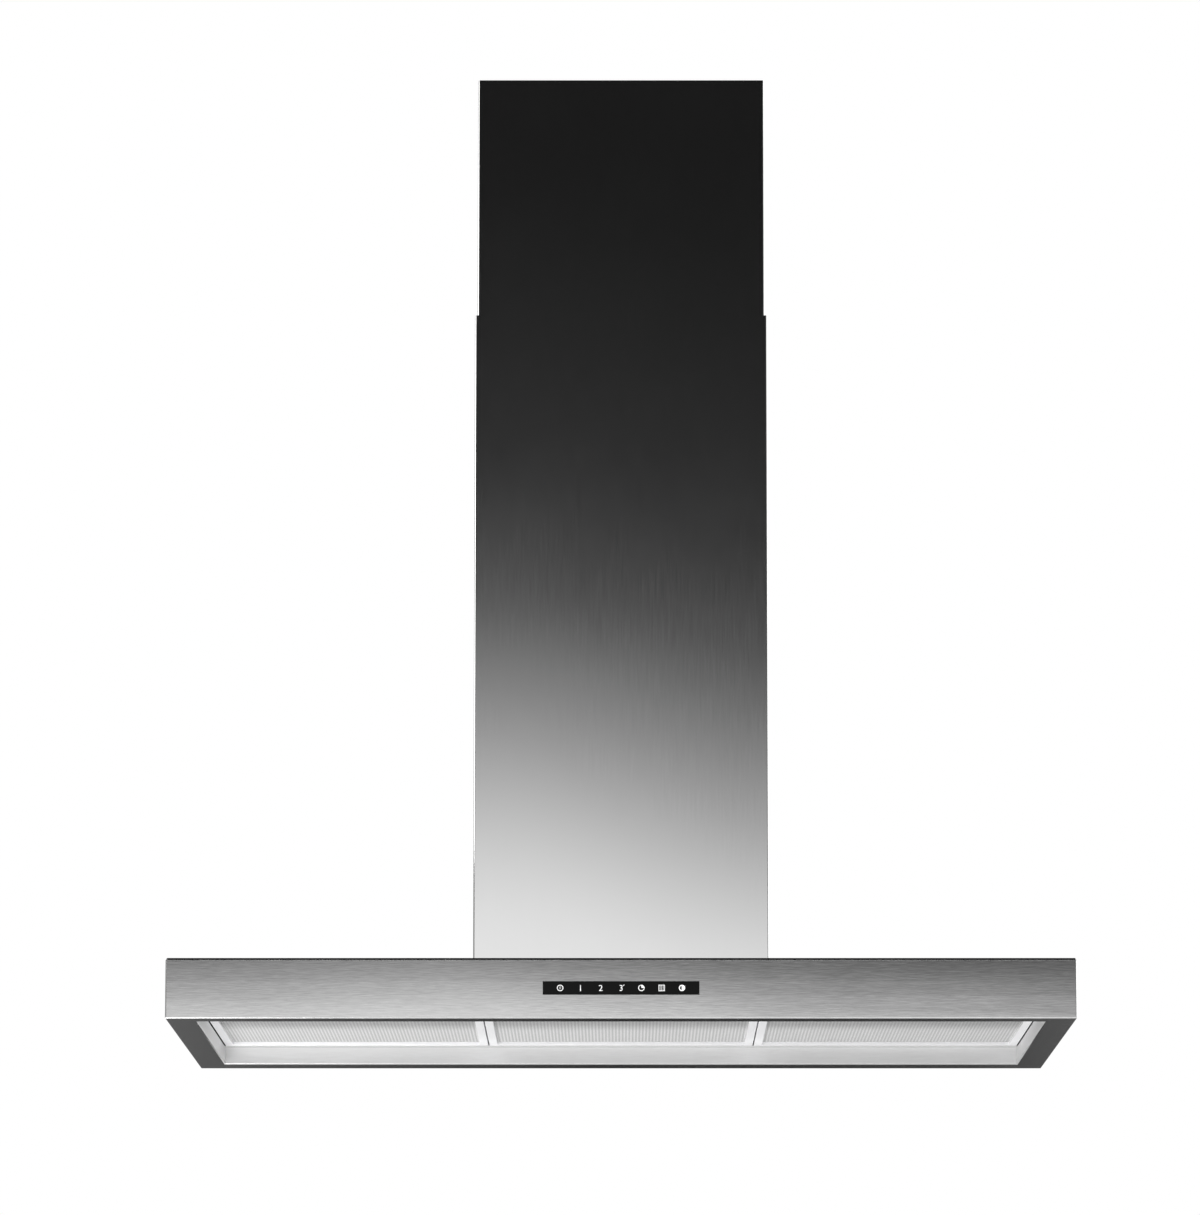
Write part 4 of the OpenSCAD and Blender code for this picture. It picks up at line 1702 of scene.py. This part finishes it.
@dataclass
class Controls:
    """The control glass and the row of symbols printed on it."""

    edge: float = 0.35 * MM
    pitch: float = 20 * MM
    size: float = 6.2 * MM
    line: float = 0.65 * MM
    print_rise: float = 0.04 * MM
    figure_offset: float = -0.004
    figure_steps: int = 4
    figure_share: float = 0.95
    disc_corners: int = 40

    def build(self) -> None:
        """Models the glass and the symbols."""
        low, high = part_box("control_glass")
        pane = softened_box("control_pane", low, high, self.edge, 3).shade(40)
        finished(pane, "hood", "glass_black", GLASS, "control_glass")
        symbols = [self.power(), self.digit("1"), self.digit("2"), self.boost(), self.timer(),
                   self.filter_sign(), self.lamp()]
        for index, symbol in enumerate(symbols):
            self._print(symbol, (index - (len(symbols) - 1) / 2) * self.pitch, low, high)
        row = symbols[0].join(*symbols[1:])
        row.obj.name = "control_symbols"
        finished(row, "hood", "white_plastic", INK)

    def _print(self, symbol: Workpiece, x: float, low: Vector, high: Vector) -> None:
        """Gives a flat symbol its thickness and sets it on the glass.

        Args:
            symbol: The symbol, drawn flat about the origin.
            x: Its place along the glass.
            low: The glass's lowest corner.
            high: The glass's highest corner.
        """
        with symbol.edited():
            symbol.pick_all()
            bpy.ops.mesh.remove_doubles(threshold=TINY / 4)
            symbol.extrude_faces((0, 0, self.print_rise))
            symbol.face_outwards()
        symbol.turned("X", 90).moved((x, low.y + self.print_rise / 4, (low.z + high.z) / 2))

    def _disc(self, radius: float) -> Workpiece:
        """Draws a flat disc about the origin.

        Args:
            radius: The disc's radius.

        Returns:
            The flat symbol.
        """
        only()
        bpy.ops.mesh.primitive_circle_add(
            vertices=self.disc_corners, radius=radius, fill_type="NGON"
        )
        return Workpiece("symbol")

    def _ring(self, radius: float, line: float) -> Workpiece:
        """Draws a ring from a disc by insetting its line and dropping the middle.

        Args:
            radius: The ring's outer radius.
            line: The width of its line.

        Returns:
            The ring.
        """
        ring = self._disc(radius)
        with ring.edited():
            ring.pick_all()
            bpy.ops.mesh.inset(thickness=line)
            bpy.ops.mesh.delete(type="FACE")
        return ring

    def _bar(self, low: tuple[float, float], high: tuple[float, float]) -> Workpiece:
        """Draws a flat bar between two corners.

        Args:
            low: Its lower left corner.
            high: Its upper right corner.

        Returns:
            The flat symbol.
        """
        size = (high[0] - low[0], high[1] - low[1])
        only()
        bpy.ops.mesh.primitive_plane_add(
            size=1, location=((low[0] + high[0]) / 2, (low[1] + high[1]) / 2, 0)
        )
        bpy.context.object.scale = (size[0], size[1], 1)
        return Workpiece("symbol")

    def power(self) -> Workpiece:
        """Draws a ring with a narrow oval in it.

        Returns:
            The flat symbol.
        """
        oval = self._ring(self.size * 0.2, self.line * 0.55)
        oval.obj.scale = (0.62, 1.0, 1.0)
        return self._ring(self.size / 2, self.line).join(oval.settle())

    def digit(self, figure: str) -> Workpiece:
        """Draws a figure.

        Args:
            figure: The figure.

        Returns:
            The flat symbol.
        """
        only()
        bpy.ops.object.text_add()
        text = bpy.context.object
        text.data.body = figure
        text.data.align_x = "CENTER"
        text.data.align_y = "CENTER"
        text.data.offset = self.figure_offset
        text.data.resolution_u = self.figure_steps
        bpy.ops.object.convert(target="MESH")
        drawn = Workpiece("symbol")
        tall = drawn.obj.dimensions.y
        middle = sum((Vector(c) for c in drawn.obj.bound_box), Vector()) / 8
        drawn.moved(-middle)
        drawn.obj.scale = (self.size * self.figure_share / tall,) * 3
        return drawn.settle()

    def boost(self) -> Workpiece:
        """Draws a 3 with a slanted mark at its upper right.

        Returns:
            The flat symbol.
        """
        mark = self._bar((-self.line * 0.45, -self.line), (self.line * 0.45, self.line * 1.4))
        mark.turned("Z", -35).moved((self.size * 0.42, self.size * 0.42, 0))
        return self.digit("3").join(mark)

    def timer(self) -> Workpiece:
        """Draws a ring whose upper right quarter is filled.

        Returns:
            The flat symbol.
        """
        quarter = self._disc(self.size / 2 - self.line / 2)
        with quarter.edited():
            for normal in ((-1, 0, 0), (0, -1, 0)):
                quarter.pick_all()
                bpy.ops.mesh.bisect(plane_co=(0, 0, 0), plane_no=normal, clear_outer=True)
        return self._ring(self.size / 2, self.line).join(quarter)

    def filter_sign(self) -> Workpiece:
        """Draws a square frame with upright lines in it.

        Returns:
            The flat symbol.
        """
        half, line = self.size / 2, self.line * 0.8
        sides = [
            self._bar((-half, half - line), (half, half)),
            self._bar((-half, -half), (half, -half + line)),
            self._bar((-half, -half + line), (-half + line, half - line)),
            self._bar((half - line, -half + line), (half, half - line)),
        ]
        for index in range(1, 4):
            x = -half + index * self.size / 4
            sides.append(self._bar((x - line * 0.35, -half + line), (x + line * 0.35, half - line)))
        return sides[0].join(*sides[1:])

    def lamp(self) -> Workpiece:
        """Draws a ring whose right half is filled.

        Returns:
            The flat symbol.
        """
        half = self._disc(self.size / 2 - self.line / 2)
        with half.edited():
            half.pick_all()
            bpy.ops.mesh.bisect(plane_co=(-0.3 * MM, 0, 0), plane_no=(-1, 0, 0), clear_outer=True)
        return self._ring(self.size / 2, self.line * 1.5).join(half)


# ---- lamps ----


@dataclass
class Lamps:
    """Two round lamps in the panel in front of the filters."""

    flange: float = 31 * MM
    flange_rise: float = 1.8 * MM
    barrel: float = 27.5 * MM
    barrel_rise: float = 24 * MM
    bore: float = 24.1 * MM
    bore_rise: float = 20.2 * MM
    lens: float = 24 * MM
    lens_top: float = 1.6 * MM
    lens_edge: float = 0.7 * MM
    lens_dome: float = 1.3 * MM
    ridges: int = 9
    ridge_rise: float = 0.3 * MM
    cap: float = 1 * MM

    def build(self) -> None:
        """Models one lamp and sets it in both places."""
        housing, lens = self.housing(), self.glass()
        for side in ("left", "right"):
            low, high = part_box(f"lamp_{side}_housing")
            seat = ((low.x + high.x) / 2, (low.y + high.y) / 2, low.z + self.flange_rise)
            shell = housing.copy(f"lamp_{side}_ring").moved(seat)
            finished(shell, "hood", "brushed_canopy", PANEL_STEEL, f"lamp_{side}_housing")
            pane = lens.copy(f"lamp_{side}_glass").moved(seat)
            finished(pane, "hood", "lamp_lens", LENS, f"lamp_{side}_lens")
        for model in (housing, lens):
            bpy.data.objects.remove(model.obj)

    def housing(self) -> Workpiece:
        """Turns the housing: a rounded flange, the barrel and its blind bore.

        Returns:
            The housing.
        """
        rise, lip = self.flange_rise, 0.6 * MM
        return lathed("housing", [
            (self.cap, self.barrel_rise), (self.barrel, self.barrel_rise), (self.barrel, 0.0),
            (self.flange, -0.001 * MM), (self.flange, -rise + lip),
            (self.flange - lip * 0.4, -rise + lip * 0.3), (self.flange - lip, -rise),
            (self.bore + 2.2 * MM, -rise), (self.bore + 0.3 * MM, -rise + lip * 0.8),
            (self.bore, -rise + 2 * lip), (self.bore, self.bore_rise), (self.cap, self.bore_rise),
        ]).shade(40)

    def glass(self) -> Workpiece:
        """Turns the lens: a shallow dome with light-spreading ridges.

        Returns:
            The lens.
        """
        outline = [(self.cap, self.lens_top), (self.lens, self.lens_top),
                   (self.lens, -self.lens_edge)]
        step = (self.lens - 3 * MM) / self.ridges
        for index in range(self.ridges):
            radius = self.lens - 0.6 * MM - index * step
            dome = -self.lens_dome + 0.35 * MM * (index == 0)
            outline += [(radius, dome), (radius - step * 0.55, dome),
                        (radius - step * 0.8, dome + self.ridge_rise)]
        outline.append((self.cap, -1.1 * MM))
        return lathed("lens", outline).shade(50)


# ---- the pieces that keep their CAD shape ----


def dress_cad_nodes() -> None:
    """Gives every CAD node that still shows the finish of its material slot."""
    slots = {part["node"]: part["material_slot"] for part in frame["record"]["subparts"]}
    for name, node in frame["nodes"].items():
        if node.hide_render:
            continue
        look = SLOT_FINISHES[slots[name]].material()
        if not node.material_slots:
            node.data.materials.append(look)
        for held in node.material_slots:
            held.material = look
        log.info("%s: dressed as %s", name, look.name)


# ---- studio ----


# Name, centre from the middle of the rim, width and height, and watts of each soft lamp
SOFTBOXES = [
    ("left_softbox", (-2.7, -1.6, 1.3), (2.0, 1.6), 42),
    ("right_softbox", (2.9, 0.4, 0.9), (1.4, 1.8), 26),
    ("floor_bounce", (-0.9, -0.6, -1.5), (1.8, 2.0), 95),
]
# Brightness of the walls from straight down to straight up
WALL_STOPS = [(0.0, 1.1), (0.35, 1.15), (0.49, 1.0), (0.53, 0.72), (0.58, 0.42), (0.7, 0.3),
              (0.85, 0.5), (1.0, 0.75)]
# Brightness in front of the hood: a light floor line that falls off into a black flag
FLAG_STOPS = [(0.0, 1.3), (0.095, 1.35), (0.12, 0.5), (0.14, 0.1), (0.16, 0.035), (0.2, 0.015),
              (0.7, 0.02), (0.97, 0.35)]
# How the flag's edge tilts from left to right: all along, in the middle, and beyond each side
FLAG_TILT, FLAG_DROP = 0.066, 0.0045
MIDDLE_TILT, MIDDLE_REACH = 0.27, 0.02
LEFT_TILT, LEFT_START = 0.2, 0.012
RIGHT_TILT, RIGHT_START = 0.05, 0.035
# Brightness low behind the hood, from left to right
BACK_STOPS = [(0.3, 0.2), (0.4, 0.08), (0.5, 0.03), (0.6, 0.05), (0.7, 0.2)]
# Brightness of the flag beside the hood on the left and of the card on the right
LEFT_FLAG, RIGHT_CARD = 0.05, 0.95
# Where the flag and the card start and end: to the side, to the rear, at their foot and top
CARD_SIDE, CARD_REAR, CARD_FOOT, CARD_TOP = (0.05, 0.3), (-0.15, 0.2), (-0.15, -0.05), (0.3, 0.5)
# Where the light in front of the hood and the strip behind it fade out, by their angle's cosine
FRONT_EDGE = (math.cos(math.radians(32)), math.cos(math.radians(16)))
REAR_EDGE = (math.cos(math.radians(12)), math.cos(math.radians(7)))
# Where the strip behind starts and ends by height, and where its bright side begins
STRIP_FOOT, STRIP_TOP = (-0.24, -0.17), (0.25, 0.32)
BRIGHT_RISE, BRIGHT_SIDE = (0.0, 0.03), (-0.01, 0.01)


@dataclass(frozen=True)
class PaleFloor(Finish):
    """A pale painted floor that fades out towards its edge and shows only from above."""

    reach: float = 2.6

    def paint(self, graph: Graph) -> None:
        """Builds a faint mottle, and the fade by distance from the middle.

        Args:
            graph: The material's empty graph.
        """
        where = graph.add("ShaderNodeTexCoord", output="Object")
        parts = graph.node("ShaderNodeSeparateXYZ", None, {"Vector": where})
        x, y = (Signal(graph, parts.outputs[axis]) for axis in "XY")
        distance = (x * x + y * y).math("SQRT")
        under = graph.add("ShaderNodeNewGeometry", output="Backfacing")
        fade = distance.between(self.reach * 0.6, self.reach).math("MAXIMUM", under)
        mottle = graph.noise((1.3, 1.3, 1.3), 3)
        paint = graph.add("ShaderNodeBsdfPrincipled", None, {
            "Base Color": graph.blend(mottle, 0.8, 0.86), "Roughness": 0.6,
        })
        clear = graph.add("ShaderNodeBsdfTransparent")
        shown = graph.add("ShaderNodeMixShader", None, {0: fade, 1: paint, 2: clear})
        graph.node("ShaderNodeOutputMaterial", None, {"Surface": shown})


@dataclass
class Studio:
    """A pale floor, a studio of soft light and a camera below the rim."""

    floor_drop: float = 1.55
    floor_reach: float = 2.6
    camera_back: float = 7.139
    camera_drop: float = 0.612
    camera_tilt: float = 8.49
    lens: float = 206.38
    sensor: float = 36
    far: float = 60
    shift: float = -0.01735
    lamp_aim: float = 0.35

    def build(self) -> None:
        """Sets up the camera, the floor, the lamps and the surroundings."""
        self.rim = cad_size[0].z
        self.camera()
        self.floor()
        self.surroundings()
        for row in SOFTBOXES:
            self.softbox(*row)

    def camera(self) -> None:
        """Stands the camera in front of the hood, below its rim, tilted up."""
        data = bpy.data.cameras.new("studio_camera")
        data.lens = self.lens
        data.sensor_width = self.sensor
        data.shift_x = self.shift
        data.clip_end = self.far
        camera = bpy.data.objects.new("studio_camera", data)
        camera.location = (0, -self.camera_back, self.rim - self.camera_drop)
        camera.rotation_euler = (math.radians(90 + self.camera_tilt), 0, 0)
        bpy.context.scene.collection.objects.link(camera)
        bpy.context.scene.camera = camera

    def floor(self) -> None:
        """Lays a round pale floor whose edge fades out."""
        only()
        bpy.ops.mesh.primitive_circle_add(
            vertices=96, radius=self.floor_reach, fill_type="NGON",
            location=(0, 0, self.rim - self.floor_drop),
        )
        floor = Workpiece("studio_floor")
        floor.obj.data.materials.append(PaleFloor("pale_floor", self.floor_reach).material())
        floor.obj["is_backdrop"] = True

    def softbox(self, name: str, offset: Point, size: tuple[float, float], power: float) -> None:
        """Hangs a soft lamp that faces the hood.

        Args:
            name: The lamp's name.
            offset: Its centre, from the middle of the rim.
            size: Its width and height.
            power: Its power in watts.
        """
        data = bpy.data.lights.new(name, "AREA")
        data.shape = "RECTANGLE"
        data.size, data.size_y = size
        data.energy = power
        lamp = bpy.data.objects.new(name, data)
        lamp.location = Vector(offset) + Vector((0, 0, self.rim))
        aim = Vector((0, 0, self.lamp_aim)) - Vector(offset)
        lamp.rotation_euler = aim.to_track_quat("-Z", "Y").to_euler()
        lamp.visible_camera = False
        bpy.context.scene.collection.objects.link(lamp)

    def surroundings(self) -> None:
        """Paints the studio round the hood by direction, and pure white behind it."""
        world = bpy.data.worlds.new("studio")
        world.use_nodes = True
        bpy.context.scene.world = world
        bpy.context.scene.view_settings.view_transform = "Standard"
        graph = Graph(world.node_tree)
        ray = graph.add("ShaderNodeTexCoord", output="Generated")
        parts = graph.node("ShaderNodeSeparateXYZ", None, {"Vector": ray})
        x, y, z = (Signal(graph, parts.outputs[axis]) for axis in "XYZ")
        level = (1 - z * z).math("MAXIMUM", 0.0001).math("SQRT")
        light = self._walls(graph, x, y, z)
        in_front = (0 - y / level).between(*FRONT_EDGE)
        light = graph.blend(in_front, light, self._front(graph, x, z))
        light = self._low_behind(graph, x / level, y / level, z, light)
        seen = graph.add("ShaderNodeLightPath", output="Is Camera Ray")
        colour = graph.blend(seen, light, 1.0)
        glow = graph.add("ShaderNodeBackground", None, {"Color": colour, "Strength": 1.0})
        graph.node("ShaderNodeOutputWorld", None, {"Surface": glow})

    def _walls(self, graph: Graph, x: Signal, y: Signal, z: Signal) -> Signal:
        """Paints the walls, with a dark flag on the left and a bright card on the right.

        Args:
            graph: The world's graph.
            x: How far the ray points to the right.
            y: How far it points to the rear.
            z: How far it points up.

        Returns:
            The brightness.
        """
        beside = y.between(*CARD_REAR) * z.between(*CARD_FOOT) * (1 - z.between(*CARD_TOP))
        walls = graph.ramp(z * 0.5 + 0.5, WALL_STOPS)
        walls = graph.blend(beside * x.between(*CARD_SIDE), walls, RIGHT_CARD)
        return graph.blend(beside * (0 - x).between(*CARD_SIDE), walls, LEFT_FLAG)

    def _front(self, graph: Graph, x: Signal, z: Signal) -> Signal:
        """Paints the floor line and the flag in front, a little lower to the left.

        Args:
            graph: The world's graph.
            x: How far the ray points to the right.
            z: How far it points up.

        Returns:
            The brightness.
        """
        left = (-LEFT_START - x).math("MAXIMUM", 0.0) * LEFT_TILT
        right = (x - RIGHT_START).math("MAXIMUM", 0.0) * RIGHT_TILT
        middle = x.math("MAXIMUM", -MIDDLE_REACH).math("MINIMUM", MIDDLE_REACH) * MIDDLE_TILT
        return graph.ramp(z + (middle + x * FLAG_TILT + (left + right) - FLAG_DROP), FLAG_STOPS)

    def _low_behind(self, graph: Graph, side: Signal, rear: Signal, z: Signal,
                    light: Signal) -> Signal:
        """Paints the dark strip low behind the hood.

        Args:
            graph: The world's graph.
            side: How far the ray points to the right, over its level length.
            rear: How far it points to the rear, over its level length.
            z: How far it points up.
            light: The brightness everywhere else.

        Returns:
            The brightness.
        """
        bright_side = z.between(*BRIGHT_RISE) * side.between(*BRIGHT_SIDE)
        strip = rear.between(*REAR_EDGE) * z.between(*STRIP_FOOT) * (1 - z.between(*STRIP_TOP))
        strip = strip * (1 - bright_side)
        return graph.blend(strip, light, graph.ramp(side * 2 + 0.5, BACK_STOPS))


# Heights of the covers' screws: from a cover's ends, and below the ceiling
SEAM_EDGE = 30 * MM
UPPER_SEAM_ROW = -150 * MM
TAB_ROW = -13 * MM


def main() -> None:
    """Builds every sub-assembly in order, dresses the CAD nodes and sets up the studio."""
    logging.basicConfig(level=logging.INFO, format="%(name)s %(message)s", force=True)
    studio = Studio()
    studio.build()
    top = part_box("lower_cover_front")[1].z
    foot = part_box("lower_cover_front")[0].z
    edge = SEAM_EDGE
    Cover("lower_cover", "lower_cover", (foot + edge, (foot + top) / 2, top - edge),
          hem=3 * MM).build()
    upper_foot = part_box("upper_cover_front")[0].z
    Cover("upper_cover", "ceiling_frame", (UPPER_SEAM_ROW, upper_foot + 2 * edge),
          tab_row=TAB_ROW).build()
    for part in (Canopy(), Filters(), Controls(), Lamps()):
        part.build()
    dress_cad_nodes()


if __name__ == "__main__":
    main()
